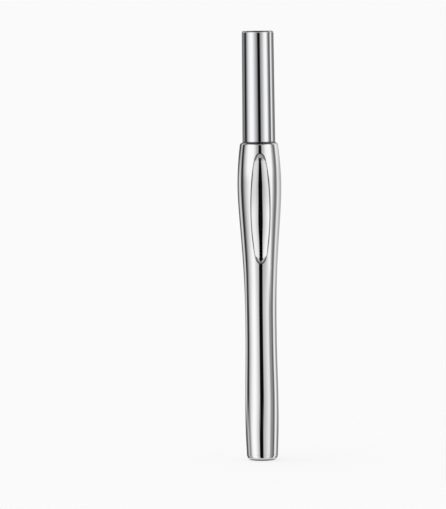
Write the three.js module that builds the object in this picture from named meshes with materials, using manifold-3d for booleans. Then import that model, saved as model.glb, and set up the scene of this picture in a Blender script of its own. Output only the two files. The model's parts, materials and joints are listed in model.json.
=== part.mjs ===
// Liquid eyebrow pen with a forked fibre nib, standing on its foot with the cap on.
// Millimetres. +Z runs along the pen's axis from the foot up, and the thumb recess faces -Y.
import * as THREE from 'three';
import { mergeVertices } from 'three/addons/utils/BufferGeometryUtils.js';
import Module from 'manifold-3d';

// Outside of the barrel
const barrelLength = 103.5; // foot to lip
const waistRadius = 5.12;
const waistStart = 41; // height above the foot
const waistLength = 5;
const footInset = 0.05; // foot narrower than the waist
const footRound = 1.75;
const bellySwell = 0.33; // belly wider than the waist
const bellyHeight = 17;
const gripSwell = 2.06; // grip wider than the waist
const gripDrop = 13.7; // widest point below the lip
const lipTaper = 0.93; // lip narrower than the grip
const lipSlope = 0.15; // radius lost per millimetre just below the lip
const lipRound = 0.85;
const tailHeadLength = 1.9; // end cap showing below the barrel's seam

// Thumb recess: an oval scoop, sized on the plane of its rim
const recessDrop = 21.2; // middle of the recess below the lip
const recessLength = 36.2;
const recessWidth = 6.26;
const recessDepth = 0.73;
const recessRise = 0.73; // centre of the scoop's ellipsoid outside its rim

// Walls and fits
const barrelWall = 0.92; // at the waist
const tankWall = 0.6;
const pressGap = 0.08; // round a pressed-in piece
const tankGap = 0.15; // round the tank
const seamGap = 0.05; // between faces that meet
const slideGap = 0.12; // round a sliding piece

// Fork nib
const nibWidth = 3.08;
const nibThickness = 1.6;
const nibCorner = 0.5;
const nibReach = 6.4; // out of the holder's nose
const nibShank = 12.9; // inside the holder
const nibStraight = 0.7; // parallel stretch above the nose
const tineLength = 4.75;
const tineTipWidth = 0.42;
const tineTipThickness = 0.8;
const slotWidth = 1.04;

// Nib holder, from its nose down to the part that sits in the barrel
const noseLength = 4.3;
const noseWall = 0.31; // beside the nib
const noseTaper = 0.22;
const noseFlatWall = 0.45; // in front of and behind the nib
const noseFlatFlare = 0.85; // how far the flats lean out towards the shoulder
const shoulderLength = 0.5;
const shoulderWidth = 0.44;
const shoulderRound = 0.3;
const coneLength = 11.3;
const coneFlare = 1.25;
const grooveWidth = 0.35;
const grooveDepth = 0.16;
const bandLength = 1.85;
const bandStep = 0.12; // band wider than the cone's end
const bandFlare = 0.4;
const beadLength = 0.7;
const beadHeight = 0.07;
const collarLength = 2.55; // lip to bead
const holderSeatDepth = 9.3; // lip to the seat inside the barrel
const skirtLength = 8.2; // below the seat, inside the tank
const socketDepth = 2.6;

// Seal ring on the holder's skirt
const sealThickness = 0.66;
const sealDrop = 2.6; // middle of the ring below the seat

// Relay wick and ink collector
const wickRadius = 1;
const wickLength = 56;
const wickChamfer = 0.25;
const collectorHubWall = 0.5;
const collectorSpigotWall = 0.8;
const collectorLength = 24;
const collectorTail = 3.2; // plain nose below the fins
const finCount = 13;
const finThickness = 0.6;
const inkSlitWidth = 0.4;
const airSlotWidth = 1.1;

// Tank stopper and tail plug
const tailSpigotLength = 4;
const tailCoreWall = 1.2;
const tailHeadWall = 1.1;
const stopperFlange = 1;
const stopperPlugLength = 4;
const stopperRibCount = 2;
const stopperRibLength = 0.8;
const stopperRibHeight = 0.2;

// Mixing balls
const ballRadius = 1.5;
const ballGap = 0.25;

// Cap and the sealing inner cap in it
const lipGap = 0.1; // between lip and cap
const capWall = 0.89; // at the mouth
const capTaper = 0.17;
const capTopWall = 1.2;
const capTopRound = 0.55;
const capMouthRound = 0.2;
const capSnapDepth = 0.12;
const capBoreStep = 0.27; // bore narrows above the snap groove
const retainerStep = 0.2; // bore narrows above the retainer
const retainerWall = 0.62;
const retainerLip = 1.1;
const retainerLipReach = 0.5;
const retainerLength = 6;
const innerCapFlange = 1;
const innerCapWall = 0.65;
const innerCapTop = 1;
const nibRoom = 1; // over the nib's tips
const springRoom = 5.35; // between inner cap and cap
const springRadius = 1.85;
const springWire = 0.4;
const springTurns = 5.5;
const pilotHeight = 0.9;

// Facets: sides round the axis, and rings or steps along a form
const outerSides = 40;
const innerSides = 32;
const fineSides = 20;
const scoopRings = 20;
const ballSides = 16;
const ballRings = 10;
const wireSides = 6;
const sealSides = 8;
const stepsPerTurn = 12;
const gapStepsPerTurn = 24;
const sweepSteps = { foot: 4, belly: 5, flare: 9, grip: 4, band: 3 };
const roundSteps = { foot: 6, lip: 5, capTop: 4, capMouth: 2, shoulder: 3, outline: 8, bar: 4 };

// How far each stretch of the barrel's outline leaves and arrives along the axis, as shares of its length
const footEase = [0.07, 0.6];
const bellyEase = [0.35, 0.35];
const flareEase = [0.48, 0.24];
const gripEase = [0.3, 0.27];
const bandEase = [0, 0.6]; // the same for the holder's flared band

// Radii worked out from the nib outwards
const nibHalf = nibWidth / 2;
const noseTipRadius = nibHalf + seamGap + noseWall;
const noseBaseRadius = noseTipRadius + noseTaper;
const coneTopRadius = noseBaseRadius + shoulderWidth;
const coneEndRadius = coneTopRadius + coneFlare;
const bandTopRadius = coneEndRadius + bandStep;
const collarRadius = bandTopRadius + bandFlare;
const beadRadius = collarRadius + beadHeight;
const capMouthBore = beadRadius + seamGap;
const capMouthRadius = capMouthBore + capWall;
const capTopRadius = capMouthRadius - capTaper;
const capBore = capMouthBore - capBoreStep;
const capUpperBore = capBore - retainerStep;

// Radii worked out from the barrel inwards
const footRadius = waistRadius - footInset;
const bellyRadius = waistRadius + bellySwell;
const gripRadius = waistRadius + gripSwell;
const lipRadius = gripRadius - lipTaper;
const barrelBore = waistRadius - barrelWall;
const mouthBore = collarRadius + pressGap;
const tankRadius = barrelBore - tankGap;
const tankBore = tankRadius - tankWall;
const skirtRadius = tankBore - slideGap;
const finRadius = tankBore - tankGap;
const wickBore = wickRadius + pressGap;
const hubRadius = wickBore + collectorHubWall;
const spigotRadius = wickBore + collectorSpigotWall;

// Heights, from the foot up
const tailSeamZ = tailHeadLength + seamGap;
const tailTopZ = tailSeamZ + tailSpigotLength;
const stopperZ = tailTopZ + seamGap;
const tankZ = stopperZ + stopperFlange + seamGap;
const stopperTopZ = stopperZ + stopperFlange + stopperPlugLength;
const lipZ = barrelLength;
const holderSeatZ = lipZ - holderSeatDepth;
const skirtZ = holderSeatZ - skirtLength;
const socketZ = skirtZ + socketDepth;
const sealZ = holderSeatZ - sealDrop;
const beadZ = lipZ + collarLength;
const bandZ = beadZ + beadLength;
const grooveZ = bandZ + bandLength;
const coneZ = grooveZ + grooveWidth;
const coneTopZ = coneZ + coneLength;
const noseZ = coneTopZ + shoulderLength;
const noseTopZ = noseZ + noseLength;
const nibTipZ = noseTopZ + nibReach;
const nibTailZ = noseTopZ - nibShank;
const wickTopZ = nibTailZ - seamGap;
const collectorTopZ = skirtZ - seamGap;
const capMouthZ = lipZ + lipGap;
const sealSeatZ = noseZ + seamGap;
const innerCapZ = coneTopZ - innerCapFlange;
const innerCapRoofZ = nibTipZ + nibRoom;
const springZ = innerCapRoofZ + innerCapTop;
const capCeilingZ = springZ + springRoom;
const capTopZ = capCeilingZ + capTopWall;
const retainerZ = innerCapZ - seamGap - retainerLip;
const retainerTopZ = retainerZ + retainerLength;

// Inner cap radii, which follow the holder that it closes on
const innerCapSkirtBore = coneTopRadius + coneFlare * innerCapFlange / coneLength + slideGap;
const innerCapBore = noseBaseRadius + slideGap;
const innerCapRadius = innerCapBore + innerCapWall;
const retainerRadius = capBore - pressGap;
const retainerBore = retainerRadius - retainerWall;
const flangeRadius = retainerBore - slideGap;
const pilotRadius = springRadius - springWire / 2 - slideGap;

const wasm = await Module();
wasm.setup();

// A geometry with only shared positions and no collapsed triangles
function welded(geometry) {
  geometry.deleteAttribute('normal');
  geometry.deleteAttribute('uv');
  const merged = mergeVertices(geometry);
  const index = merged.getIndex().array;
  const kept = [];
  for (let i = 0; i < index.length; i += 3) {
    const [a, b, c] = [index[i], index[i + 1], index[i + 2]];
    if (a !== b && b !== c && c !== a) kept.push(a, b, c);
  }
  merged.setIndex(kept);
  return merged;
}

// A three.js geometry as a solid that can be joined and cut
function solid(geometry) {
  const closed = welded(geometry);
  const vertProperties = Float32Array.from(closed.getAttribute('position').array);
  const triVerts = Uint32Array.from(closed.getIndex().array);
  return new wasm.Manifold(new wasm.Mesh({ numProp: 3, vertProperties, triVerts }));
}

// A solid back as a three.js geometry
function geometryOf(body) {
  const { vertProperties, triVerts } = body.getMesh();
  const geometry = new THREE.BufferGeometry();
  geometry.setAttribute('position', new THREE.BufferAttribute(Float32Array.from(vertProperties), 3));
  geometry.setIndex(Array.from(triVerts));
  return geometry;
}

// A body of revolution about Z from [radius, height] points, bottom first and outer wall going up
function turned(points, sides) {
  const profile = points.map(([r, z]) => new THREE.Vector2(r, z));
  return new THREE.LatheGeometry(profile, sides).rotateX(Math.PI / 2);
}

// The same for a tube, whose profile closes on itself
function turnedRing(points, sides) {
  return turned([...points, points[0]], sides);
}

// Points on an arc round [r, z], angles in degrees from the radial direction
function arc(r, z, radius, from, to, steps) {
  const points = [];
  for (let i = 0; i <= steps; i += 1) {
    const angle = THREE.MathUtils.degToRad(from + (to - from) * i / steps);
    points.push([r + radius * Math.cos(angle), z + radius * Math.sin(angle)]);
  }
  return points;
}

// A smooth profile stretch that leaves and arrives along the axis, or arrives on a slope
function sweep([r0, z0], [r1, z1], [leave, arrive], steps, slope = 0) {
  const curve = new THREE.CubicBezierCurve(
    new THREE.Vector2(r0, z0),
    new THREE.Vector2(r0, z0 + leave * (z1 - z0)),
    new THREE.Vector2(r1 + slope * arrive * (z1 - z0), z1 - arrive * (z1 - z0)),
    new THREE.Vector2(r1, z1),
  );
  return curve.getPoints(steps).map((p) => [p.x, p.y]);
}

// A prism of a front-view outline (x, z), centred on y = 0
function frontPrism(shape, depth) {
  const options = { depth, bevelEnabled: false, curveSegments: roundSteps.outline };
  return new THREE.ExtrudeGeometry(shape, options).translate(0, 0, -depth / 2).rotateX(Math.PI / 2);
}

// A prism of a side-view outline (y, z), centred on x = 0
function sidePrism(shape, depth) {
  return frontPrism(shape, depth).rotateZ(Math.PI / 2);
}

// A plan-view rectangle with round corners, drawn out along Z
function roundedBar(width, thickness, corner, z, length) {
  const [w, t] = [width / 2 - corner, thickness / 2 - corner];
  const shape = new THREE.Shape();
  shape.absarc(w, t, corner, 0, Math.PI / 2);
  shape.absarc(-w, t, corner, Math.PI / 2, Math.PI);
  shape.absarc(-w, -t, corner, Math.PI, Math.PI * 1.5);
  shape.absarc(w, -t, corner, Math.PI * 1.5, Math.PI * 2);
  const options = { depth: length, bevelEnabled: false, curveSegments: roundSteps.bar };
  return new THREE.ExtrudeGeometry(shape, options).translate(0, 0, z);
}

// Barrel outline from the seam over the end cap up to the lip
function barrelOutline() {
  const waistEnd = waistStart + waistLength;
  const gripZ = lipZ - gripDrop;
  const lipEdgeZ = lipZ - lipRound;
  return [
    ...sweep([footRadius, tailSeamZ], [bellyRadius, bellyHeight], footEase, sweepSteps.foot),
    ...sweep([bellyRadius, bellyHeight], [waistRadius, waistStart], bellyEase, sweepSteps.belly).slice(1),
    ...sweep([waistRadius, waistEnd], [gripRadius, gripZ], flareEase, sweepSteps.flare),
    ...sweep([gripRadius, gripZ], [lipRadius, lipEdgeZ], gripEase, sweepSteps.grip, lipSlope).slice(1),
    ...arc(lipRadius - lipRound, lipEdgeZ, lipRound, 0, 90, roundSteps.lip).slice(1),
  ];
}

// Barrel radius at a height, read off the outline
function radiusAt(outline, z) {
  const above = outline.findIndex((point) => point[1] >= z);
  const [r1, z1] = outline[above];
  const [r0, z0] = outline[above - 1];
  return r0 + (r1 - r0) * (z - z0) / (z1 - z0);
}

// The scoop: part of an ellipsoid whose rim lies on the plane through the recess's two ends
function recessScoop(outline) {
  const middleZ = lipZ - recessDrop;
  const topRadius = radiusAt(outline, middleZ + recessLength / 2);
  const bottomRadius = radiusAt(outline, middleZ - recessLength / 2);
  const reach = recessDepth + recessRise;
  const rimShare = Math.sqrt(1 - (recessRise / reach) ** 2);
  const ellipsoid = new THREE.SphereGeometry(1, innerSides, scoopRings).rotateX(Math.PI / 2);
  ellipsoid.scale(recessWidth / 2 / rimShare, reach, recessLength / 2 / rimShare);
  ellipsoid.rotateX(Math.atan2(topRadius - bottomRadius, recessLength));
  return ellipsoid.translate(0, -(topRadius + bottomRadius) / 2 - recessRise, middleZ);
}

function barrelShell() {
  const outline = barrelOutline();
  const tube = turnedRing([
    ...outline,
    [mouthBore, lipZ],
    [mouthBore, holderSeatZ - seamGap],
    [barrelBore, holderSeatZ - seamGap],
    [barrelBore, tailSeamZ],
  ], outerSides);
  return geometryOf(solid(tube).subtract(solid(recessScoop(outline))));
}

function tailPlug() {
  const spigot = barrelBore - pressGap;
  const core = spigot - tailCoreWall;
  return turned([
    [0, 0],
    ...arc(footRadius - footRound, footRound, footRound, -90, 0, roundSteps.foot),
    [footRadius, tailHeadLength],
    [spigot, tailHeadLength],
    [spigot, tailTopZ],
    [core, tailTopZ],
    [core, tailHeadWall],
    [0, tailHeadWall],
  ], outerSides);
}

function tankStopper() {
  const plugZ = stopperZ + stopperFlange;
  const ribRadius = tankBore - pressGap;
  const plugRadius = ribRadius - stopperRibHeight;
  const ribPitch = stopperPlugLength / (stopperRibCount + 1);
  const points = [[0, stopperZ], [tankRadius, stopperZ], [tankRadius, plugZ], [plugRadius, plugZ]];
  for (let i = 1; i <= stopperRibCount; i += 1) {
    const ribZ = plugZ + i * ribPitch;
    points.push([plugRadius, ribZ - stopperRibLength / 2]);
    points.push([ribRadius, ribZ]);
    points.push([plugRadius, ribZ + stopperRibLength / 2]);
  }
  return turned([...points, [plugRadius, stopperTopZ], [0, stopperTopZ]], innerSides);
}

function inkTank() {
  const topZ = holderSeatZ - seamGap;
  const wall = [[tankBore, tankZ], [tankRadius, tankZ], [tankRadius, topZ], [tankBore, topZ]];
  return turnedRing(wall, innerSides);
}

// Flat on the front or back of the nose, as the wedge that is cut away
function noseFlatWedge(side) {
  const topOffset = nibThickness / 2 + seamGap + noseFlatWall;
  const baseOffset = topOffset + noseFlatFlare;
  const outside = 2 * noseBaseRadius;
  const overshoot = 1;
  const lean = noseFlatFlare * overshoot / noseLength;
  const shape = new THREE.Shape();
  shape.moveTo(side * baseOffset, noseZ);
  shape.lineTo(side * outside, noseZ);
  shape.lineTo(side * outside, noseTopZ + overshoot);
  shape.lineTo(side * (topOffset - lean), noseTopZ + overshoot);
  shape.closePath();
  return sidePrism(shape, 2 * outside);
}

function nibHolder() {
  const sealFloor = tankBore - pressGap - sealThickness - seamGap;
  const sealHalf = sealThickness / 2 + seamGap;
  const body = turnedRing([
    [spigotRadius + pressGap, skirtZ],
    [skirtRadius, skirtZ],
    [skirtRadius, sealZ - sealHalf],
    [sealFloor, sealZ - sealHalf],
    [sealFloor, sealZ + sealHalf],
    [skirtRadius, sealZ + sealHalf],
    [skirtRadius, holderSeatZ],
    [collarRadius, holderSeatZ],
    [collarRadius, beadZ],
    [beadRadius, (beadZ + bandZ) / 2],
    ...sweep([collarRadius, bandZ], [bandTopRadius, grooveZ], bandEase, sweepSteps.band),
    [coneEndRadius - grooveDepth, grooveZ],
    [coneEndRadius - grooveDepth, coneZ],
    [coneEndRadius, coneZ],
    ...arc(coneTopRadius - shoulderRound, coneTopZ, shoulderRound, 0, 75, roundSteps.shoulder),
    [noseBaseRadius, noseZ],
    [noseTipRadius, noseTopZ],
    [wickBore, noseTopZ],
    [wickBore, socketZ],
    [spigotRadius + pressGap, socketZ],
  ], outerSides);
  const slot = roundedBar(
    nibWidth + 2 * seamGap,
    nibThickness + 2 * seamGap,
    nibCorner + seamGap,
    nibTailZ - seamGap,
    nibShank + nibReach,
  );
  return geometryOf(
    solid(body).subtract(solid(slot)).subtract(solid(noseFlatWedge(-1))).subtract(solid(noseFlatWedge(1))),
  );
}

function holderSealRing() {
  const middle = tankBore - pressGap - sealThickness / 2;
  const ring = new THREE.TorusGeometry(middle, sealThickness / 2, sealSides, innerSides);
  return ring.translate(0, 0, sealZ);
}

// Front view of the nib: a parallel shank, then two tines that taper on the outside
function nibFront() {
  const [slotHalf, tip] = [slotWidth / 2, tineTipWidth / 2];
  const tipCentre = slotHalf + tip;
  const tipZ = nibTipZ - tip;
  const slotZ = nibTipZ - tineLength + slotHalf;
  const taperZ = noseTopZ + nibStraight;
  const shape = new THREE.Shape();
  shape.moveTo(-nibHalf, nibTailZ);
  shape.lineTo(nibHalf, nibTailZ);
  shape.lineTo(nibHalf, taperZ);
  shape.absarc(tipCentre, tipZ, tip, 0, Math.PI);
  shape.absarc(0, slotZ, slotHalf, 0, -Math.PI, true);
  shape.absarc(-tipCentre, tipZ, tip, 0, Math.PI);
  shape.lineTo(-nibHalf, taperZ);
  shape.closePath();
  return frontPrism(shape, 2 * nibThickness);
}

// Side view of the nib: flat shank, thinned towards round tips
function nibSide() {
  const [half, tip] = [nibThickness / 2, tineTipThickness / 2];
  const shape = new THREE.Shape();
  shape.moveTo(-half, nibTailZ);
  shape.lineTo(half, nibTailZ);
  shape.lineTo(half, noseTopZ + nibStraight);
  shape.absarc(0, nibTipZ - tip, tip, 0, Math.PI);
  shape.lineTo(-half, noseTopZ + nibStraight);
  shape.closePath();
  return sidePrism(shape, 2 * nibWidth);
}

function forkNib() {
  const bar = roundedBar(nibWidth, nibThickness, nibCorner, nibTailZ, nibShank + nibReach);
  return geometryOf(solid(bar).intersect(solid(nibFront())).intersect(solid(nibSide())));
}

function relayWick() {
  const bottomZ = wickTopZ - wickLength;
  return turned([
    [0, bottomZ],
    [wickRadius - wickChamfer, bottomZ],
    [wickRadius, bottomZ + wickChamfer],
    [wickRadius, wickTopZ - wickChamfer],
    [wickRadius - wickChamfer, wickTopZ],
    [0, wickTopZ],
  ], fineSides);
}

// A radial cut through the collector's fins, on the +X or -X side
function finCut(side, width, from) {
  const reach = finRadius + 1 - from;
  const box = new THREE.BoxGeometry(reach, width, 2 * collectorLength);
  return solid(box.translate(side * (from + reach / 2), 0, collectorTopZ - collectorLength / 2));
}

function inkCollector() {
  const bottomZ = collectorTopZ - collectorLength;
  const finStart = bottomZ + collectorTail;
  const finPitch = (collectorTopZ - finStart - finThickness) / (finCount - 1);
  const tipRadius = (wickBore + hubRadius) / 2;
  const points = [[wickBore, bottomZ], [tipRadius, bottomZ], [hubRadius, bottomZ + collectorTail / 2]];
  for (let i = 0; i < finCount; i += 1) {
    const z = finStart + i * finPitch;
    points.push([hubRadius, z], [finRadius, z], [finRadius, z + finThickness]);
    if (i < finCount - 1) points.push([hubRadius, z + finThickness]);
  }
  const body = turnedRing([
    ...points,
    [spigotRadius, collectorTopZ],
    [spigotRadius, socketZ - seamGap],
    [wickBore, socketZ - seamGap],
  ], fineSides);
  const fins = solid(body);
  return geometryOf(
    fins.subtract(finCut(1, inkSlitWidth, spigotRadius)).subtract(finCut(-1, airSlotWidth, spigotRadius)),
  );
}

// Two balls side by side over the stopper; the second climbs where the tank is too narrow for both
function mixingBall(side) {
  const offset = tankBore - ballRadius - ballGap;
  const apart = 2 * ballRadius + ballGap;
  const climb = Math.sqrt(Math.max(0, apart ** 2 - (2 * offset) ** 2));
  const z = stopperTopZ + seamGap + ballRadius + (side > 0 ? climb : 0);
  const ball = new THREE.SphereGeometry(ballRadius, ballSides, ballRings).rotateX(Math.PI / 2);
  return ball.translate(side * offset, 0, z);
}

function capShell() {
  const snapZ = beadZ - seamGap;
  const snapTopZ = bandZ + seamGap;
  const mouthRoundZ = capMouthZ + capMouthRound;
  return turned([
    [capMouthBore, capMouthZ],
    ...arc(capMouthRadius - capMouthRound, mouthRoundZ, capMouthRound, -90, 0, roundSteps.capMouth),
    ...arc(capTopRadius - capTopRound, capTopZ - capTopRound, capTopRound, 0, 90, roundSteps.capTop),
    [0, capTopZ],
    [0, capCeilingZ - pilotHeight],
    [pilotRadius, capCeilingZ - pilotHeight],
    [pilotRadius, capCeilingZ],
    [capUpperBore, capCeilingZ],
    [capUpperBore, retainerTopZ + seamGap],
    [capBore, retainerTopZ + seamGap],
    [capBore, snapTopZ + 2 * capBoreStep],
    [capMouthBore, snapTopZ + capBoreStep],
    [capMouthBore, snapTopZ],
    [capMouthBore + capSnapDepth, (snapTopZ + snapZ) / 2],
    [capMouthBore, snapZ],
    [capMouthBore, capMouthZ],
  ], outerSides);
}

function innerCapRetainer() {
  const lipBore = flangeRadius - retainerLipReach;
  return turnedRing([
    [lipBore, retainerZ],
    [retainerRadius, retainerZ],
    [retainerRadius, retainerTopZ],
    [retainerBore, retainerTopZ],
    [retainerBore, retainerZ + retainerLip],
    [lipBore, retainerZ + retainerLip],
  ], outerSides);
}

function innerCap() {
  return turned([
    [innerCapSkirtBore, innerCapZ],
    [flangeRadius, innerCapZ],
    [flangeRadius, innerCapZ + innerCapFlange],
    [innerCapRadius, innerCapZ + innerCapFlange],
    [innerCapRadius, springZ],
    [pilotRadius, springZ],
    [pilotRadius, springZ + pilotHeight],
    [0, springZ + pilotHeight],
    [0, innerCapRoofZ],
    [innerCapBore, innerCapRoofZ],
    [innerCapBore, sealSeatZ],
    [innerCapSkirtBore, sealSeatZ],
    [innerCapSkirtBore, innerCapZ],
  ], innerSides);
}

// Centre line of the spring
class Helix extends THREE.Curve {
  constructor(radius, height, turns) {
    super();
    Object.assign(this, { radius, height, turns });
  }

  getPoint(t, target = new THREE.Vector3()) {
    const angle = 2 * Math.PI * this.turns * t;
    return target.set(this.radius * Math.cos(angle), this.radius * Math.sin(angle), this.height * t);
  }
}

// Least clear distance between turns of a wire, measured on points along its centre line
function leastTurnGap(helix, wire) {
  const points = helix.getPoints(gapStepsPerTurn * helix.turns);
  let least = Infinity;
  points.forEach((p, i) => {
    points.slice(i + gapStepsPerTurn / 2).forEach((q) => {
      least = Math.min(least, p.distanceTo(q) - wire);
    });
  });
  return least;
}

function capSpring() {
  const rise = springRoom - springWire - 2 * seamGap;
  const helix = new Helix(springRadius, rise, springTurns);
  console.log(`cap_spring: least gap between turns ${leastTurnGap(helix, springWire).toFixed(2)} mm`);
  const section = new THREE.Shape().absarc(0, 0, springWire / 2, 0, 2 * Math.PI);
  const steps = Math.round(stepsPerTurn * springTurns);
  const options = { steps, curveSegments: wireSides / 2, extrudePath: helix };
  const wire = new THREE.ExtrudeGeometry(section, options);
  return wire.translate(0, 0, springZ + seamGap + springWire / 2);
}

const pen = new THREE.Group();

function addPiece(name, geometry, color, roughness, metalness) {
  const material = new THREE.MeshStandardMaterial({ color, roughness, metalness });
  const mesh = new THREE.Mesh(welded(geometry), material);
  mesh.name = name;
  pen.add(mesh);
}

// Finishes
const chrome = [0xe6e7ea, 0.06, 1];
const glossBlack = [0x0b0b0c, 0.12, 0];
const fibre = [0x4a4a4b, 0.85, 0];
const clearPlastic = [0xdfe3e4, 0.25, 0];
const whitePlastic = [0xf0efec, 0.45, 0];
const blackRubber = [0x151515, 0.7, 0];
const steel = [0xb9bcc0, 0.2, 1];

addPiece('barrel_shell', barrelShell(), ...chrome);
addPiece('tail_plug', tailPlug(), ...chrome);
addPiece('tank_stopper', tankStopper(), ...whitePlastic);
addPiece('ink_tank', inkTank(), ...clearPlastic);
addPiece('nib_holder', nibHolder(), ...glossBlack);
addPiece('holder_seal_ring', holderSealRing(), ...blackRubber);
addPiece('fork_nib', forkNib(), ...fibre);
addPiece('relay_wick', relayWick(), ...fibre);
addPiece('ink_collector', inkCollector(), ...whitePlastic);
addPiece('mixing_ball_1', mixingBall(-1), ...steel);
addPiece('mixing_ball_2', mixingBall(1), ...steel);
addPiece('cap_shell', capShell(), ...chrome);
addPiece('inner_cap_retainer', innerCapRetainer(), ...whitePlastic);
addPiece('inner_cap', innerCap(), ...whitePlastic);
addPiece('cap_spring', capSpring(), ...steel);

export default pen;
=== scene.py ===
"""Chrome eyebrow pen: dense pieces, finishes, studio and camera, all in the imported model's frame."""

import json
import math

import bmesh
import bpy
import numpy as np
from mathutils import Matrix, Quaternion, Vector

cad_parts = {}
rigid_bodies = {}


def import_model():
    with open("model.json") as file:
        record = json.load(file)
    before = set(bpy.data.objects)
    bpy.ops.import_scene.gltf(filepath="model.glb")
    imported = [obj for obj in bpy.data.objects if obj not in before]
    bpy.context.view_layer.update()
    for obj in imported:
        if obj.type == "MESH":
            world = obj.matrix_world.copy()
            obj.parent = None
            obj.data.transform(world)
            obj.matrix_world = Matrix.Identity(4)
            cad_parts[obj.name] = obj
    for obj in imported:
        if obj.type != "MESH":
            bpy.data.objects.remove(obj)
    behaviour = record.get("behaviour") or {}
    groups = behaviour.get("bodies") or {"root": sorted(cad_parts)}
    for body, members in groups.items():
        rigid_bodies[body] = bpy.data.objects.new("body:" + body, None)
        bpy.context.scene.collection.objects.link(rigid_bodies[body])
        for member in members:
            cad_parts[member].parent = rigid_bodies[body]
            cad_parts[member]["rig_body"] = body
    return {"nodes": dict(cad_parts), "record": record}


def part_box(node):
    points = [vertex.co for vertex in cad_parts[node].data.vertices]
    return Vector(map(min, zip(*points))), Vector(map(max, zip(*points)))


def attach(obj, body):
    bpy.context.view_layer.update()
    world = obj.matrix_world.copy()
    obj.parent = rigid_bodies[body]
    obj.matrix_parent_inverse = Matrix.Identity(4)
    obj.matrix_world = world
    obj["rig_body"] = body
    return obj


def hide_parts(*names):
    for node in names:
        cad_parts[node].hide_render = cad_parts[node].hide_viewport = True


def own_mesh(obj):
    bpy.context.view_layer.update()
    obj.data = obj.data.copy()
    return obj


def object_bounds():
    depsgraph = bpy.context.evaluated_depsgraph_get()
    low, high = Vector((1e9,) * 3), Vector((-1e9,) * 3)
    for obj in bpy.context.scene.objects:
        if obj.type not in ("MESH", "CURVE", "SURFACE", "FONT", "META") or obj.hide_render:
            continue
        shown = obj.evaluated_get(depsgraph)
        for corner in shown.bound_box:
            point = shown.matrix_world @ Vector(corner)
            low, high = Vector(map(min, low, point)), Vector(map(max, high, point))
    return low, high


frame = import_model()
cad_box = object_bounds()

MM = 0.001  # lengths are written in millimetres
MICRON = 0.001 * MM
TINY = 1e-6  # least radius or width


def span(cad_node):
    """Lowest height, highest height and radius of a CAD node."""
    low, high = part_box(cad_node)
    return low.z / MM, high.z / MM, high.x / MM


# Heights and radii read off the frame
SEAM_Z, SHELL_TOP_Z, GRIP_RADIUS = span("barrel_shell")
FOOT_Z, TAIL_TOP_Z, FOOT_RADIUS = span("tail_plug")
_, CAP_TOP_Z, CAP_MOUTH_RADIUS = span("cap_shell")
HOLDER_Z, NOSE_TOP_Z, BEAD_RADIUS = span("nib_holder")
NIB_TAIL_Z, NIB_TIP_Z, NIB_HALF = span("fork_nib")
RETAINER_Z, RETAINER_TOP_Z, RETAINER_RADIUS = span("inner_cap_retainer")
INNER_CAP_Z, PILOT_TOP_Z, FLANGE_RADIUS = span("inner_cap")
SPRING_Z, SPRING_TOP_Z, SPRING_OUTER_RADIUS = span("cap_spring")
TANK_Z, TANK_TOP_Z, TANK_RADIUS = span("ink_tank")
STOPPER_Z, STOPPER_TOP_Z, STOPPER_RADIUS = span("tank_stopper")
WICK_Z, WICK_TOP_Z, WICK_RADIUS = span("relay_wick")
COLLECTOR_Z, SPIGOT_TOP_Z, FIN_RADIUS = span("ink_collector")
SEAL_Z, SEAL_TOP_Z, SEAL_RADIUS = span("holder_seal_ring")

# Barrel outline and its end cap
LIP_RAISE = 0.22  # the photograph's lip stands a little higher
LIP_GAP = 0.06  # between it and the cap
LIP_Z = SHELL_TOP_Z + LIP_RAISE
WAIST_RADIUS = 5.12
WAIST_LOW_Z = 41
WAIST_HIGH_Z = 46
BELLY_RADIUS = 5.45
BELLY_Z = 17
GRIP_Z = SHELL_TOP_Z - 13.7
LIP_RADIUS = 6.25
LIP_SLOPE = 0.15
LIP_ROUND = 0.85
BARREL_BORE = 4.2
MOUTH_BORE = 4.41
SEAT_Z = SHELL_TOP_Z - 9.35
FOOT_ROUND = 1.75
FOOT_EASE = (0.07, 0.6)
BELLY_EASE = (0.35, 0.35)
FLARE_EASE = (0.48, 0.24)
GRIP_EASE = (0.3, 0.27)
EDGE_ROUND = 0.06
SEAM_ROUND = 0.02
SEAM_GAP = 0.01
TAIL_GAP = 0.08  # between its spigot and the bore
TAIL_WALL = 1.2
TAIL_FLOOR = 1.1

# Thumb recess: an ellipse with blunt ends seen from the front
RECESS_Z = SHELL_TOP_Z - 21.12
RECESS_HALF_LENGTH = 18.02
RECESS_HALF_WIDTH = 3.13
RECESS_BLUNT = 0.52  # how much wider than an ellipse's the ends are
RECESS_BLUNT_POWER = 8.5  # higher keeps this closer to the ends
RECESS_DEPTHS = (  # share of the half length, depth below the straight line between its edges
    (-1, 0), (-0.965, 0.15), (-0.944, 0.19), (-0.91, 0.2), (-0.86, 0.22), (-0.74, 0.34), (-0.56, 0.54),
    (-0.38, 0.74), (-0.2, 0.81), (-0.02, 0.77), (0.16, 0.7), (0.34, 0.7), (0.52, 0.56), (0.7, 0.38),
    (0.79, 0.31), (0.86, 0.215), (0.905, 0.178), (0.93, 0.125), (0.96, 0.055), (1, 0),
)
RECESS_FLANKS = (  # share of the half length, 1 for a parabola across and more for flatter flanks
    (-1, 1.05), (0.32, 1.05), (0.42, 1.25), (0.52, 1.5), (0.7, 1.65), (0.79, 1.75), (0.88, 2.2), (1, 2.3),
)
RECESS_STEPS = (  # share of the half length, height of the step just inside its edge
    (-1, 0.28), (-0.93, 0.26), (-0.86, 0.2), (-0.7, 0.06), (-0.5, 0), (0.45, 0), (0.7, 0.1), (0.79, 0.2),
    (0.88, 0.32), (0.93, 0.3), (1, 0.28),
)
RECESS_STEP_RUN = 0.42  # distance over which the step goes down
RECESS_EDGE_BLEND = 0.4  # rounding of the edge
RECESS_END_BLEND = 0.06  # at the ends
RECESS_END_POWER = 4  # higher keeps the sharper edge closer to the ends
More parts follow.
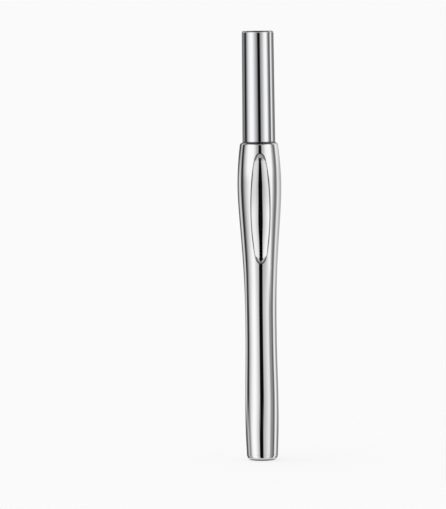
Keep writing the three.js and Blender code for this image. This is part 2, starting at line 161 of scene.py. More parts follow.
RECESS_EDGE_SLOPE = 1  # of the scoop carried on outside its edge
RECESS_MARGIN = 1.2  # from the ends of the recess to the edge of its patch
RECESS_EDGE_RINGS = (  # distances outside the edge
    0.42, 0.35, 0.28, 0.21, 0.14, 0.07, 0, -0.07, -0.14, -0.21, -0.28, -0.35, -0.42,
)
RECESS_OUTER_RINGS = 5
RECESS_INNER_RINGS = 30
RECESS_INNER_POWER = 1.7  # higher crowds the inner rings towards the edge

# Cap
CAP_MOUTH_Z = LIP_Z + LIP_GAP
CAP_TAPER = 0.17
CAP_TOP_ROUND = 0.55
CAP_MOUTH_ROUND = 0.25
CAP_TOP_WALL = 1.2
CAP_MOUTH_BORE = 4.45
CAP_BORE = 4.18
CAP_UPPER_BORE = 3.98
SNAP_LOW_Z = 106.0
SNAP_HIGH_Z = 106.8
SNAP_DEPTH = 0.12
SNAP_LAND = 0.27  # straight bore above the snap, and then as high a cone
RETAINER_GAP = 0.05
PILOT_RADIUS = 1.53
PILOT_HEIGHT = 0.9

# Nib holder, from its nose down
NOSE_Z = NOSE_TOP_Z - 4.3
NOSE_ROOT = 0.2  # height above which the nose is clear of its fillet
NOSE_TIP_RADIUS = 1.9
NOSE_BASE_RADIUS = 2.12
NOSE_FLAT_TOP = 1.3  # distance of the flats from the axis plane
NOSE_FLAT_BASE = 2.15
NOSE_FLAT_LEAST = 0.005  # a flat that is shallower is left out
NOSE_EDGE = 0.12
CONE_TOP_Z = NOSE_Z - 0.5
CONE_TOP_RADIUS = 2.56
CONE_Z = CONE_TOP_Z - 11.3
CONE_RADIUS = 3.81
SHOULDER_ROUND = 0.3
SHOULDER_TURN = 75  # degrees
GROOVE_Z = CONE_Z - 0.35
GROOVE_RADIUS = 3.65
BAND_Z = GROOVE_Z - 1.85
BAND_TOP_RADIUS = 3.93
BAND_EASE = (0, 0.6)
BEAD_Z = BAND_Z - 0.7
COLLAR_RADIUS = 4.33
HOLDER_SEAT_Z = SHELL_TOP_Z - 9.3
SKIRT_RADIUS = 3.33
SEAL_FLOOR = 2.66
SEAL_GAP = 0.05
SOCKET_Z = HOLDER_Z + 2.6
SPIGOT_BORE = 1.96
WICK_BORE = 1.08
NIB_GAP = 0.05
SLOT_EDGE = 0.05

# Fork nib
NIB_HALF_THICKNESS = 0.8
NIB_CORNER = 0.5
NIB_TAPER_Z = NOSE_TOP_Z + 0.7
TINE_TIP_HALF = 0.21
TINE_TIP_THICKNESS = 0.4
TINE_SLOT_HALF = 0.52
TINE_SLOT_Z = NIB_TIP_Z - 4.75 + TINE_SLOT_HALF

# Inner cap and its retainer
INNER_CAP_RADIUS = 2.89
INNER_CAP_BORE = 2.24
INNER_CAP_SKIRT_BORE = 2.79
INNER_CAP_FLANGE = 1
INNER_CAP_ROOF = 1
INNER_CAP_SEAT_Z = NOSE_Z + 0.05
RETAINER_BORE = 3.48
RETAINER_LIP_BORE = 2.86
RETAINER_LIP = 1.1

# Ink system and spring
TANK_BORE = 3.45
STOPPER_FLANGE = 1
STOPPER_RIB_RADIUS = 3.37
STOPPER_RIB_HALF = 0.4
STOPPER_RIB_HEIGHT = 0.2
STOPPER_RIBS = 2
WICK_CHAMFER = 0.25
HUB_RADIUS = 1.58
SPIGOT_RADIUS = 1.88
COLLECTOR_TOP_Z = HOLDER_Z - 0.05
COLLECTOR_TAIL = 3.2
FIN_COUNT = 13
FIN_THICKNESS = 0.6
FIN_EDGE = 0.08
INK_SLIT_HALF_ANGLE = math.radians(4.5)
AIR_SLOT_HALF_ANGLE = math.radians(12)
SLIT_POINTS = (-1, -0.5, 0, 0.5, 1)  # in a slit's half angles
SLIT_EDGE = 1.0001  # just outside it
SPRING_WIRE = 0.4
SPRING_TURNS = 5.5

# Facets
SIDES = 160
FINE_SIDES = 64
WALL_STEPS = 800
ROUND_STEPS = 14
CAP_TOP_STEPS = 12
SMALL_ROUND_STEPS = 8
EDGE_STEPS = 4
FILLET_STEPS = 6
BAND_STEPS = 12
SEAL_STEPS = 24
LOWER_ROWS = 64
PATCH_ROWS = 60
PATCH_HALF_COLUMNS = 18
UPPER_ROWS = 4
FLAT_STEPS = 4
FLAT_EDGE_STEPS = 4
FLAT_ARC_STEPS = 14
FLAT_ANGLES = np.radians([4, 8])  # where a ring without flats has the points of a flat and its edge
NOSE_RINGS = 24
SLOT_HALVINGS = 40
NIB_COLUMNS = 16
NIB_ROUND_ROWS = 10
NIB_SHANK_ROWS = 8
NIB_TAPER_ROWS = 5
NIB_TINE_ROWS = 16
WIRE_SIDES = 12
SPRING_STEPS_PER_TURN = 32
SHARP_ANGLE = math.radians(38)
WELD_DISTANCE = 1e-4
SUPPORT = 0.03  # distance of the support rings from an edge


def arc(r, z, radius, start, end, steps):
    """Points on an arc round (r, z), angles in degrees from the radial direction."""
    angles = np.radians(np.linspace(start, end, steps + 1))
    return [(r + radius * math.cos(a), z + radius * math.sin(a)) for a in angles]


def sweep(start, end, ease, steps, slope=0.0):
    """A smooth profile stretch that leaves along the axis and arrives along it or on a slope."""
    (r0, z0), (r1, z1) = start, end
    leave, arrive = ease
    rise = z1 - z0
    handles = np.array([
        (r0, z0),
        (r0, z0 + leave * rise),
        (r1 + slope * arrive * rise, z1 - arrive * rise),
        (r1, z1),
    ])
    t = np.linspace(0, 1, steps + 1)[:, None]
    weights = np.hstack([(1 - t) ** 3, 3 * t * (1 - t) ** 2, 3 * t ** 2 * (1 - t), t ** 3])
    return [tuple(point) for point in weights @ handles]


def filleted(corners, closed=True):
    """A profile through (radius, height, fillet) corners, each rounded by its fillet."""
    points = []
    count = len(corners)
    for i, (r, z, fillet) in enumerate(corners):
        if not fillet or (not closed and i in (0, count - 1)):
            points.append((r, z))
            continue
        here = Vector((r, z))
        before = (Vector(corners[i - 1][:2]) - here).normalized()
        after = (Vector(corners[(i + 1) % count][:2]) - here).normalized()
        half = before.angle(after) / 2
        middle = here + (before + after).normalized() * fillet / math.sin(half)
        spoke = here + before * fillet / math.tan(half) - middle
        turn = math.copysign(math.pi - 2 * half, -before.cross(after))
        for k in range(FILLET_STEPS + 1):
            angle = turn * k / FILLET_STEPS
            c, s = math.cos(angle), math.sin(angle)
            points.append((middle.x + c * spoke.x - s * spoke.y, middle.y + s * spoke.x + c * spoke.y))
    return points


def strip(first, second):
    """Faces between two closed loops of vertices, either of which may be a single point."""
    count = max(len(first), len(second))
    faces = []
    for i in range(count):
        j = (i + 1) % count
        corners = (first[i % len(first)], first[j % len(first)],
                   second[j % len(second)], second[i % len(second)])
        faces.append(list(dict.fromkeys(corners)))
    return faces


def numbered(rings):
    """All points of some rings, and for each ring the loop of its points' numbers."""
    points, loops = [], []
    for ring in rings:
        loops.append(list(range(len(points), len(points) + len(ring))))
        points += ring
    return points, loops


def ring_stack(rings, closed):
    """Points and faces through a stack of rings, each a list of points."""
    points, loops = numbered(rings)
    faces = []
    for first, second in zip(loops, loops[1:] + loops[:1] if closed else loops[1:]):
        faces += strip(first, second)
    return points, faces


def quads(first, second):
    """Faces between two open rows of vertices."""
    return list(zip(first, first[1:], second[1:], second))


def row_stack(rows):
    """Points and faces through a stack of open rows of points."""
    points, loops = numbered(rows)
    faces = []
    for first, second in zip(loops, loops[1:]):
        faces += quads(second, first)
    return points, faces


def around(r, angle, z):
    """The point at an angle round the axis, from the front to the right."""
    return r * math.sin(angle), -r * math.cos(angle), z


def circle(r, z, sides):
    """A ring of points round the axis, starting at the front, or one point on the axis."""
    if r < TINY:
        return [(0, 0, z)]
    return [around(r, a, z) for a in np.linspace(0, 2 * math.pi, sides, endpoint=False)]


def supported(profile, closed=False):
    """The profile with points added close to the ends of its straight runs, so that these shade flat."""
    made = []
    for start, end in zip(profile, profile[1:] + profile[:1]):
        made.append(start)
        run = math.dist(start, end)
        if run > 4 * SUPPORT:
            for share in (SUPPORT / run, 1 - SUPPORT / run):
                made.append(tuple(a + (b - a) * share for a, b in zip(start, end)))
    return made if closed else made[:made.index(profile[-1]) + 1]


def lathe(profile, sides=SIDES):
    """A body of revolution, whose profile starts and ends on the axis or closes on itself."""
    closed = profile[0][0] > TINY
    return ring_stack([circle(r, z, sides) for r, z in supported(profile, closed)], closed)


def turned(corners):
    """A small body of revolution with filleted corners."""
    return lathe(filleted(corners, closed=corners[0][0] > TINY), FINE_SIDES)


def barrel_wall():
    """Barrel outline from the seam over the end cap up to the rounding of the lip."""
    belly, waist = (BELLY_RADIUS, BELLY_Z), (WAIST_RADIUS, WAIST_LOW_Z)
    waist_end, grip = (WAIST_RADIUS, WAIST_HIGH_Z), (GRIP_RADIUS, GRIP_Z)
    lip = (LIP_RADIUS, LIP_Z - LIP_ROUND)
    return [
        *sweep((FOOT_RADIUS, SEAM_Z), belly, FOOT_EASE, WALL_STEPS),
        *sweep(belly, waist, BELLY_EASE, WALL_STEPS)[1:],
        *sweep(waist_end, grip, FLARE_EASE, WALL_STEPS),
        *sweep(grip, lip, GRIP_EASE, WALL_STEPS, LIP_SLOPE)[1:],
    ]


WALL_RADII, WALL_HEIGHTS = np.array(barrel_wall()).T


def wall_radius(z):
    return np.interp(z, WALL_HEIGHTS, WALL_RADII)


def smooth_curve(points):
    """A smooth curve through points that does not overshoot them."""
    places, values = np.array(points).T
    runs = np.diff(places)
    rises = np.diff(values) / runs
    products = rises[:-1] * rises[1:]
    sums = np.where(products > 0, rises[:-1] + rises[1:], 1)
    inner_slopes = np.where(products > 0, 2 * products / sums, 0)
    slopes = np.concatenate([rises[:1], inner_slopes, rises[-1:]])

    def value_at(place):
        i = np.clip(np.searchsorted(places, place) - 1, 0, len(runs) - 1)
        share = (place - places[i]) / runs[i]
        rest = 1 - share
        ends = values[i] * rest ** 2 * (1 + 2 * share) + values[i + 1] * share ** 2 * (1 + 2 * rest)
        return ends + runs[i] * share * rest * (slopes[i] * rest - slopes[i + 1] * share)

    return value_at


recess_depth = smooth_curve(RECESS_DEPTHS)
recess_flanks = smooth_curve(RECESS_FLANKS)
recess_step = smooth_curve(RECESS_STEPS)


def recess_width(along):
    """Half width of the recess at a share of its half length."""
    blunt = 1 + RECESS_BLUNT * abs(along) ** RECESS_BLUNT_POWER
    return RECESS_HALF_WIDTH * blunt * np.sqrt(np.clip(1 - along ** 2, 0, None))


def recess_front(x, z, outside):
    """Distance of the barrel's front from the axis plane, scooped out and with a rounded edge.

    The points lie outside the recess's edge by a distance, or inside it if that is negative.
    """
    along = np.clip((z - RECESS_Z) / RECESS_HALF_LENGTH, -1, 1)
    width = recess_width(along)
    radius = wall_radius(z)
    wall = np.sqrt(radius ** 2 - x ** 2)
    rim = np.sqrt(radius ** 2 - width ** 2)
    across = x / np.maximum(width, TINY)
    step = recess_step(along) * (1 - np.clip(1 + outside / RECESS_STEP_RUN, 0, 1) ** 3)
    flat = recess_flanks(along)
    section = (np.sqrt(1 + (flat ** 2 - 1) * across ** 2) - 1) / (flat - 1)
    scoop = rim - recess_depth(along) * (1 - section) - step
    above = RECESS_EDGE_SLOPE * outside if outside >= 0 else scoop - wall
    sharper = abs(along) ** RECESS_END_POWER
    rounding = RECESS_EDGE_BLEND + (RECESS_END_BLEND - RECESS_EDGE_BLEND) * sharper
    share = np.clip(0.5 + 0.5 * above / rounding, 0, 1)
    return wall + above * (1 - share) - rounding * share * (1 - share)


def recess_rings(border):
    """Rings of front points from the border of the patch inwards, aligned with the recess's edge."""
    count = len(border)
    border_angle = np.array([math.atan2(x, -y) for x, y, z in border])
    border_z = np.array([z for x, y, z in border])
    turns = np.linspace(0, 2 * math.pi, count, endpoint=False) - math.pi / 4
    along = np.sin(turns)
    edge = np.stack([np.sign(np.cos(turns)) * recess_width(along), RECESS_HALF_LENGTH * along])
    tangent = np.roll(edge, -1, axis=1) - np.roll(edge, 1, axis=1)
    outward = np.stack([tangent[1], -tangent[0]]) / np.linalg.norm(tangent, axis=0)
    x, z = edge + RECESS_EDGE_RINGS[0] * outward
    z = z + RECESS_Z
    angle = np.arcsin(x / wall_radius(z))

    rings = []
    for k in range(1, RECESS_OUTER_RINGS):
        share = k / RECESS_OUTER_RINGS
        ring_angle = border_angle + (angle - border_angle) * share
        ring_z = border_z + (z - border_z) * share
        rings.append((wall_radius(ring_z) * np.sin(ring_angle), ring_z, math.inf))
    for offset in RECESS_EDGE_RINGS:
        x, z = edge + offset * outward
        rings.append((x, z + RECESS_Z, offset))
    for k in range(1, RECESS_INNER_RINGS + 1):
        share = 1 - (k / (RECESS_INNER_RINGS + 1)) ** RECESS_INNER_POWER
        rings.append((share * x, share * z + RECESS_Z, -math.inf))
    rings.append((np.zeros(1), np.full(1, RECESS_Z), -math.inf))
    fronts = []
    for x, z, outside in rings:
        outside = min(outside, RECESS_EDGE_BLEND / RECESS_EDGE_SLOPE)
        fronts.append(list(zip(x, -recess_front(x, z, outside), z)))
    return fronts


def barrel():
    """Barrel shell as rows of rings, with the recess patch let into its front."""
    patch_low = RECESS_Z - RECESS_HALF_LENGTH - RECESS_MARGIN
    patch_high = RECESS_Z + RECESS_HALF_LENGTH + RECESS_MARGIN
    heights = np.concatenate([
        np.linspace(SEAM_Z + SEAM_ROUND, patch_low, LOWER_ROWS)[:-1],
        np.linspace(patch_low, patch_high, PATCH_ROWS + 1),
        np.linspace(patch_high, LIP_Z - LIP_ROUND - SUPPORT, UPPER_ROWS)[1:],
        [LIP_Z - LIP_ROUND],
    ])
    first_row = LOWER_ROWS - 1
    last_row = first_row + PATCH_ROWS
    profile = [(float(wall_radius(z)), float(z)) for z in heights]
    profile += arc(LIP_RADIUS - LIP_ROUND, LIP_Z - LIP_ROUND, LIP_ROUND, 0, 90, ROUND_STEPS)[1:]
    profile += arc(MOUTH_BORE + EDGE_ROUND, LIP_Z - EDGE_ROUND, EDGE_ROUND, 90, 180, EDGE_STEPS)
    profile += [(MOUTH_BORE, SEAT_Z), (BARREL_BORE, SEAT_Z), (BARREL_BORE, SEAM_Z)]
    profile += arc(FOOT_RADIUS - SEAM_ROUND, SEAM_Z + SEAM_ROUND, SEAM_ROUND, -90, 0, EDGE_STEPS)[:-1]

    points, loops = numbered([circle(r, z, SIDES) for r, z in profile])
    faces = []
    for row, (first, second) in enumerate(zip(loops, loops[1:] + loops[:1])):
        for column, face in enumerate(strip(first, second)):
            in_columns = (column + PATCH_HALF_COLUMNS) % SIDES < 2 * PATCH_HALF_COLUMNS
            if not (first_row <= row < last_row and in_columns):
                faces.append(face)

    right, left = PATCH_HALF_COLUMNS, -PATCH_HALF_COLUMNS
    border = [loops[row][right] for row in range(first_row, last_row)]
    border += [loops[last_row][column] for column in range(right, left, -1)]
    border += [loops[row][left] for row in range(last_row, first_row, -1)]
    border += [loops[first_row][column] for column in range(left, right)]
    inner = border
    for ring in recess_rings([points[i] for i in border]):
        loop = list(range(len(points), len(points) + len(ring)))
        points += ring
        faces += strip(inner, loop)
        inner = loop
    return points, faces


def tail_plug():
    spigot = BARREL_BORE - TAIL_GAP
    core = spigot - TAIL_WALL
    head_z = SEAM_Z - SEAM_GAP
    return lathe([
        (0, FOOT_Z),
        *arc(FOOT_RADIUS - FOOT_ROUND, FOOT_Z + FOOT_ROUND, FOOT_ROUND, -90, 0, ROUND_STEPS),
        *arc(FOOT_RADIUS - SEAM_ROUND, head_z - SEAM_ROUND, SEAM_ROUND, 0, 90, EDGE_STEPS),
        (spigot, head_z),
        (spigot, TAIL_TOP_Z),
        (core, TAIL_TOP_Z),
        (core, FOOT_Z + TAIL_FLOOR),
        (0, FOOT_Z + TAIL_FLOOR),
    ])


def cap():
    top_radius = CAP_MOUTH_RADIUS - CAP_TAPER
    ceiling_z = CAP_TOP_Z - CAP_TOP_WALL
    step_z = RETAINER_TOP_Z + RETAINER_GAP
    mouth_middle = (CAP_MOUTH_RADIUS - CAP_MOUTH_ROUND, CAP_MOUTH_Z + CAP_MOUTH_ROUND)
    return lathe([
        (0, CAP_TOP_Z),
        *arc(top_radius - CAP_TOP_ROUND, CAP_TOP_Z - CAP_TOP_ROUND, CAP_TOP_ROUND, 90, 0, CAP_TOP_STEPS),
        *arc(*mouth_middle, CAP_MOUTH_ROUND, 0, -90, SMALL_ROUND_STEPS),
        *arc(CAP_MOUTH_BORE + EDGE_ROUND, CAP_MOUTH_Z + EDGE_ROUND, EDGE_ROUND, 270, 180, EDGE_STEPS),
        (CAP_MOUTH_BORE, SNAP_LOW_Z),
        (CAP_MOUTH_BORE + SNAP_DEPTH, (SNAP_LOW_Z + SNAP_HIGH_Z) / 2),
        (CAP_MOUTH_BORE, SNAP_HIGH_Z),
        (CAP_MOUTH_BORE, SNAP_HIGH_Z + SNAP_LAND),
        (CAP_BORE, SNAP_HIGH_Z + 2 * SNAP_LAND),
        (CAP_BORE, step_z),
        (CAP_UPPER_BORE, step_z),
        (CAP_UPPER_BORE, ceiling_z),
        (PILOT_RADIUS, ceiling_z),
        (PILOT_RADIUS, ceiling_z - PILOT_HEIGHT),
        (0, ceiling_z - PILOT_HEIGHT),
    ])


def flatted_ring(r, z, flat):
    """A ring with a flat in front and one behind, at a distance from the axis plane.

    The ring is plain where that distance leaves no flat.
    """
    if r - flat < NOSE_FLAT_LEAST:
        edge_angle, arc_angle = FLAT_ANGLES
        angles = np.concatenate([
            np.linspace(0, edge_angle, FLAT_STEPS, endpoint=False),
            np.linspace(edge_angle, arc_angle, FLAT_EDGE_STEPS, endpoint=False),
            np.linspace(arc_angle, math.pi / 2, FLAT_ARC_STEPS + 1),
        ])
        quarter = [around(r, a, z) for a in angles]
    else:
        corner_y = flat - NOSE_EDGE
        corner_x = math.sqrt((r - NOSE_EDGE) ** 2 - corner_y ** 2)
        turn = math.atan2(corner_x, corner_y)
        quarter = [(x, -flat, z) for x in np.linspace(0, corner_x, FLAT_STEPS, endpoint=False)]
        for a in np.linspace(0, turn, FLAT_EDGE_STEPS, endpoint=False):
            quarter.append((corner_x + NOSE_EDGE * math.sin(a), -corner_y - NOSE_EDGE * math.cos(a), z))
        quarter += [around(r, a, z) for a in np.linspace(turn, math.pi / 2, FLAT_ARC_STEPS + 1)]
    half = quarter + [(x, -y, z) for x, y, z in quarter[-2::-1]]
    return half + [(-x, y, z) for x, y, z in half[-2:0:-1]]


def slot_ring(directions, grow, z):
    """The nib's slot, a rectangle with round corners, met in the directions of another ring's points."""
    half = np.array([NIB_HALF + NIB_GAP, NIB_HALF_THICKNESS + NIB_GAP]) + grow
    corner = NIB_CORNER + NIB_GAP + grow
    ring = []
    for x, y, _ in directions:
        ray = np.array([x, y]) / math.hypot(x, y)
        near, far = 0.0, float(half.sum())
        for _ in range(SLOT_HALVINGS):
            middle = (near + far) / 2
            past = np.clip(abs(ray * middle) - (half - corner), 0, None)
            if math.hypot(*past) < corner:
                near = middle
            else:
                far = middle
        ring.append((ray[0] * near, ray[1] * near, z))
    return ring


def nib_holder():
    """Holder as a stack of rings: skirt, collar, bead, band, groove, cone and the nose with its flats."""
    seal_low, seal_high = SEAL_Z - SEAL_GAP, SEAL_TOP_Z + SEAL_GAP
    band = sweep((COLLAR_RADIUS, BAND_Z), (BAND_TOP_RADIUS, GROOVE_Z), BAND_EASE, BAND_STEPS)
    shoulder_middle = (CONE_TOP_RADIUS - SHOULDER_ROUND, CONE_TOP_Z)
    shoulder = arc(*shoulder_middle, SHOULDER_ROUND, 0, SHOULDER_TURN, SMALL_ROUND_STEPS)
    body = filleted([
        (SPIGOT_BORE, HOLDER_Z, 0),
        (SKIRT_RADIUS, HOLDER_Z, 0.15),
        (SKIRT_RADIUS, seal_low, 0.05),
        (SEAL_FLOOR, seal_low, 0.05),
        (SEAL_FLOOR, seal_high, 0.05),
        (SKIRT_RADIUS, seal_high, 0.05),
        (SKIRT_RADIUS, HOLDER_SEAT_Z, 0.05),
        (COLLAR_RADIUS, HOLDER_SEAT_Z, 0.08),
        (COLLAR_RADIUS, BEAD_Z, 0.1),
        (BEAD_RADIUS, (BEAD_Z + BAND_Z) / 2, 0.15),
        *((r, z, 0) for r, z in band[:-1]),
        (*band[-1], 0.06),
        (GROOVE_RADIUS, GROOVE_Z, 0.05),
        (GROOVE_RADIUS, CONE_Z, 0.05),
        (CONE_RADIUS, CONE_Z, 0.06),
        *((r, z, 0) for r, z in shoulder),
        (NOSE_BASE_RADIUS, NOSE_Z, 0.06),
        (NOSE_TIP_RADIUS, NOSE_TOP_Z, NOSE_EDGE),
        (WICK_BORE, NOSE_TOP_Z, 0),
    ], closed=False)[:-1]

    def nose_at(z):
        share = (z - NOSE_Z) / (NOSE_TOP_Z - NOSE_Z)
        radius = NOSE_BASE_RADIUS + (NOSE_TIP_RADIUS - NOSE_BASE_RADIUS) * share
        return radius, NOSE_FLAT_BASE + (NOSE_FLAT_TOP - NOSE_FLAT_BASE) * share

    foot = max(i for i, (r, z) in enumerate(body) if z < NOSE_Z + NOSE_ROOT)
    heights = np.linspace(body[foot][1], body[foot + 1][1], NOSE_RINGS + 1)[1:-1]
    profile = body[:foot + 1] + [(nose_at(z)[0], z) for z in heights] + body[foot + 1:]
    rings = []
    for r, z in supported(profile):
        line, flat = nose_at(z)
        rings.append(flatted_ring(r, z, flat - (line - r) if z > NOSE_Z else math.inf))
    top = rings[-1]
    slot_floor = NIB_TAIL_Z - NIB_GAP
    rings += [
        slot_ring(top, SLOT_EDGE, NOSE_TOP_Z),
        slot_ring(top, 0, NOSE_TOP_Z - SLOT_EDGE),
        slot_ring(top, 0, slot_floor),
        flatted_ring(WICK_BORE, slot_floor, math.inf),
        flatted_ring(WICK_BORE, SOCKET_Z, math.inf),
        flatted_ring(SPIGOT_BORE, SOCKET_Z, math.inf),
    ]
    return ring_stack(rings, closed=True)


def nib_sides(z):
    """Inner and outer edge of the right half of the nib at a height."""
    tip_x = TINE_SLOT_HALF + TINE_TIP_HALF
    tip_z = NIB_TIP_Z - TINE_TIP_HALF
    if z > tip_z:
        half = math.sqrt(max(TINE_TIP_HALF ** 2 - (z - tip_z) ** 2, 0))
        return tip_x - half, tip_x + half
    taper = max(z - NIB_TAPER_Z, 0) / (tip_z - NIB_TAPER_Z)
    outer = NIB_HALF + (tip_x + TINE_TIP_HALF - NIB_HALF) * taper
    below = max(TINE_SLOT_Z - z, 0)
    inner = math.sqrt(max(TINE_SLOT_HALF ** 2 - below ** 2, 0))
    return inner, outer


def fork_nib():
    """Nib as four sheets, front and back of each half, whose thickness rounds off towards the outline."""
    slot_low = TINE_SLOT_Z - TINE_SLOT_HALF
    tip_z = NIB_TIP_Z - TINE_TIP_HALF
    quarter_turn = np.linspace(0, math.pi / 2, NIB_ROUND_ROWS)
    heights = np.concatenate([
        np.linspace(NIB_TAIL_Z, NIB_TAPER_Z, NIB_SHANK_ROWS),
        np.linspace(NIB_TAPER_Z, slot_low, NIB_TAPER_ROWS)[1:-1],
        TINE_SLOT_Z - TINE_SLOT_HALF * np.cos(quarter_turn),
        np.linspace(TINE_SLOT_Z, tip_z, NIB_TINE_ROWS)[1:-1],
        tip_z + TINE_TIP_HALF * np.sin(quarter_turn),
    ])
    sides = np.array([nib_sides(z) for z in heights])
    forked = heights >= slot_low
    outline = np.concatenate([
        np.stack([sides[:, 1], heights], axis=1),
        np.stack([sides[forked, 0], heights[forked]], axis=1)[::-1],
    ])
    spread = (1 - np.cos(np.linspace(0, math.pi, NIB_COLUMNS + 1))) / 2
    x = sides[:, :1] + (sides[:, 1:] - sides[:, :1]) * spread
    z = np.repeat(heights[:, None], NIB_COLUMNS + 1, axis=1)
    starts, ends = outline[:-1], outline[1:]
    runs = ends - starts
    squares = np.maximum((runs ** 2).sum(axis=1), TINY ** 2)
    offsets = np.stack([x, z], axis=-1)[:, :, None] - starts
    shares = np.clip((offsets * runs).sum(axis=-1) / squares, 0, 1)
    distance = np.linalg.norm(offsets - shares[..., None] * runs, axis=-1).min(axis=-1)
    thinning = np.clip((z - NIB_TAPER_Z) / (tip_z - NIB_TAPER_Z), 0, 1)
    half = NIB_HALF_THICKNESS + (TINE_TIP_THICKNESS - NIB_HALF_THICKNESS) * thinning
    corner = np.minimum(half, NIB_CORNER)
    y = half - corner + np.sqrt(corner ** 2 - np.clip(corner - distance, 0, None) ** 2)

    points, faces = [], []
    for side in (-1, 1):
        sheets = []
        for face in (-1, 1):
            sheets.append(len(points) + np.arange(x.size).reshape(x.shape))
            points += list(zip((side * x).ravel(), (face * y).ravel(), z.ravel()))
        front, back = sheets
        rows = [*zip(front, front[1:]), *zip(back, back[1:])]
        rows += [(front[:, -1], back[:, -1]), (front[0], back[0]), (front[forked, 0], back[forked, 0])]
        for first, second in rows:
            faces += quads(first.tolist(), second.tolist())
    return points, faces


def inner_cap():
    spring_z = PILOT_TOP_Z - PILOT_HEIGHT
    roof_z = spring_z - INNER_CAP_ROOF
    flange_z = INNER_CAP_Z + INNER_CAP_FLANGE
    return turned([
        (0, PILOT_TOP_Z, 0),
        (PILOT_RADIUS, PILOT_TOP_Z, 0.2),
        (PILOT_RADIUS, spring_z, 0.06),
        (INNER_CAP_RADIUS, spring_z, 0.25),
        (INNER_CAP_RADIUS, flange_z, 0.1),
        (FLANGE_RADIUS, flange_z, 0.1),
        (FLANGE_RADIUS, INNER_CAP_Z, 0.1),
        (INNER_CAP_SKIRT_BORE, INNER_CAP_Z, 0.08),
        (INNER_CAP_SKIRT_BORE, INNER_CAP_SEAT_Z, 0.05),
        (INNER_CAP_BORE, INNER_CAP_SEAT_Z, 0.08),
        (INNER_CAP_BORE, roof_z, 0.2),
        (0, roof_z, 0),
    ])


def inner_cap_retainer():
    return turned([
        (RETAINER_LIP_BORE, RETAINER_Z, 0.1),
        (RETAINER_RADIUS, RETAINER_Z, 0.1),
        (RETAINER_RADIUS, RETAINER_TOP_Z, 0.15),
        (RETAINER_BORE, RETAINER_TOP_Z, 0.1),
        (RETAINER_BORE, RETAINER_Z + RETAINER_LIP, 0.1),
        (RETAINER_LIP_BORE, RETAINER_Z + RETAINER_LIP, 0.1),
    ])


def tank_stopper():
    plug_z = STOPPER_Z + STOPPER_FLANGE
    plug_radius = STOPPER_RIB_RADIUS - STOPPER_RIB_HEIGHT
    pitch = (STOPPER_TOP_Z - plug_z) / (STOPPER_RIBS + 1)
    ribs = []
    for k in range(STOPPER_RIBS):
        rib_z = plug_z + (k + 1) * pitch
        ribs.append((plug_radius, rib_z - STOPPER_RIB_HALF, 0.1))
        ribs.append((STOPPER_RIB_RADIUS, rib_z, 0.15))
        ribs.append((plug_radius, rib_z + STOPPER_RIB_HALF, 0.1))
    return turned([
        (0, STOPPER_Z, 0),
        (STOPPER_RADIUS, STOPPER_Z, 0.15),
        (STOPPER_RADIUS, plug_z, 0.1),
        (plug_radius, plug_z, 0.06),
        *ribs,
        (plug_radius, STOPPER_TOP_Z, 0.3),
        (0, STOPPER_TOP_Z, 0),
    ])


def ink_tank():
    return turned([
        (TANK_BORE, TANK_Z, 0.1),
        (TANK_RADIUS, TANK_Z, 0.1),
        (TANK_RADIUS, TANK_TOP_Z, 0.1),
        (TANK_BORE, TANK_TOP_Z, 0.1),
    ])


def relay_wick():
    return turned([
        (0, WICK_Z, 0),
        (WICK_RADIUS, WICK_Z, WICK_CHAMFER),
        (WICK_RADIUS, WICK_TOP_Z, WICK_CHAMFER),
        (0, WICK_TOP_Z, 0),
    ])


def ink_collector():
    """Finned collector, whose fins are cut by an ink slit on one side and an air slot on the other."""
    fin_z = COLLECTOR_Z + COLLECTOR_TAIL
    pitch = (COLLECTOR_TOP_Z - fin_z - FIN_THICKNESS) / (FIN_COUNT - 1)
    corners = [
        (WICK_BORE, COLLECTOR_Z, 0),
        ((WICK_BORE + HUB_RADIUS) / 2, COLLECTOR_Z, 0.1),
        (HUB_RADIUS, COLLECTOR_Z + COLLECTOR_TAIL / 2, 0.2),
    ]
    for k in range(FIN_COUNT):
        low = fin_z + k * pitch
        high = low + FIN_THICKNESS
        neck = HUB_RADIUS if k < FIN_COUNT - 1 else SPIGOT_RADIUS
        corners += [
            (HUB_RADIUS, low, 0),
            (FIN_RADIUS, low, FIN_EDGE),
            (FIN_RADIUS, high, FIN_EDGE),
            (neck, high, 0),
        ]
    corners += [(SPIGOT_RADIUS, SPIGOT_TOP_Z, 0.1), (WICK_BORE, SPIGOT_TOP_Z, 0)]

    slits = ((math.pi / 2, INK_SLIT_HALF_ANGLE), (1.5 * math.pi, AIR_SLOT_HALF_ANGLE))
    places = []
    for a in np.linspace(0, 2 * math.pi, FINE_SIDES, endpoint=False):
        if all(abs(a - middle) > half for middle, half in slits):
            places.append((a, False))
    for middle, half in slits:
        places += [(middle + share * half, True) for share in SLIT_POINTS]
        places += [(middle + share * half, False) for share in (-SLIT_EDGE, SLIT_EDGE)]
    places.sort()
    rings = []
    for r, z in filleted(corners):
        cut = min(r, SPIGOT_RADIUS)
        rings.append([around(cut if in_slit else r, a, z) for a, in_slit in places])
    return ring_stack(rings, closed=True)


def seal_ring():
    thick = (SEAL_TOP_Z - SEAL_Z) / 2
    return lathe(arc(SEAL_RADIUS - thick, SEAL_Z + thick, thick, 0, 360, SEAL_STEPS)[:-1], FINE_SIDES)


def mixing_ball(cad_node):
    low, high = (Vector(corner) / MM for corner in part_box(cad_node))
    middle = (low + high) / 2
    radius = (high.z - low.z) / 2
    points, faces = lathe(arc(0, middle.z, radius, -90, 90, FINE_SIDES // 2), FINE_SIDES)
    return [(x + middle.x, y + middle.y, z) for x, y, z in points], faces


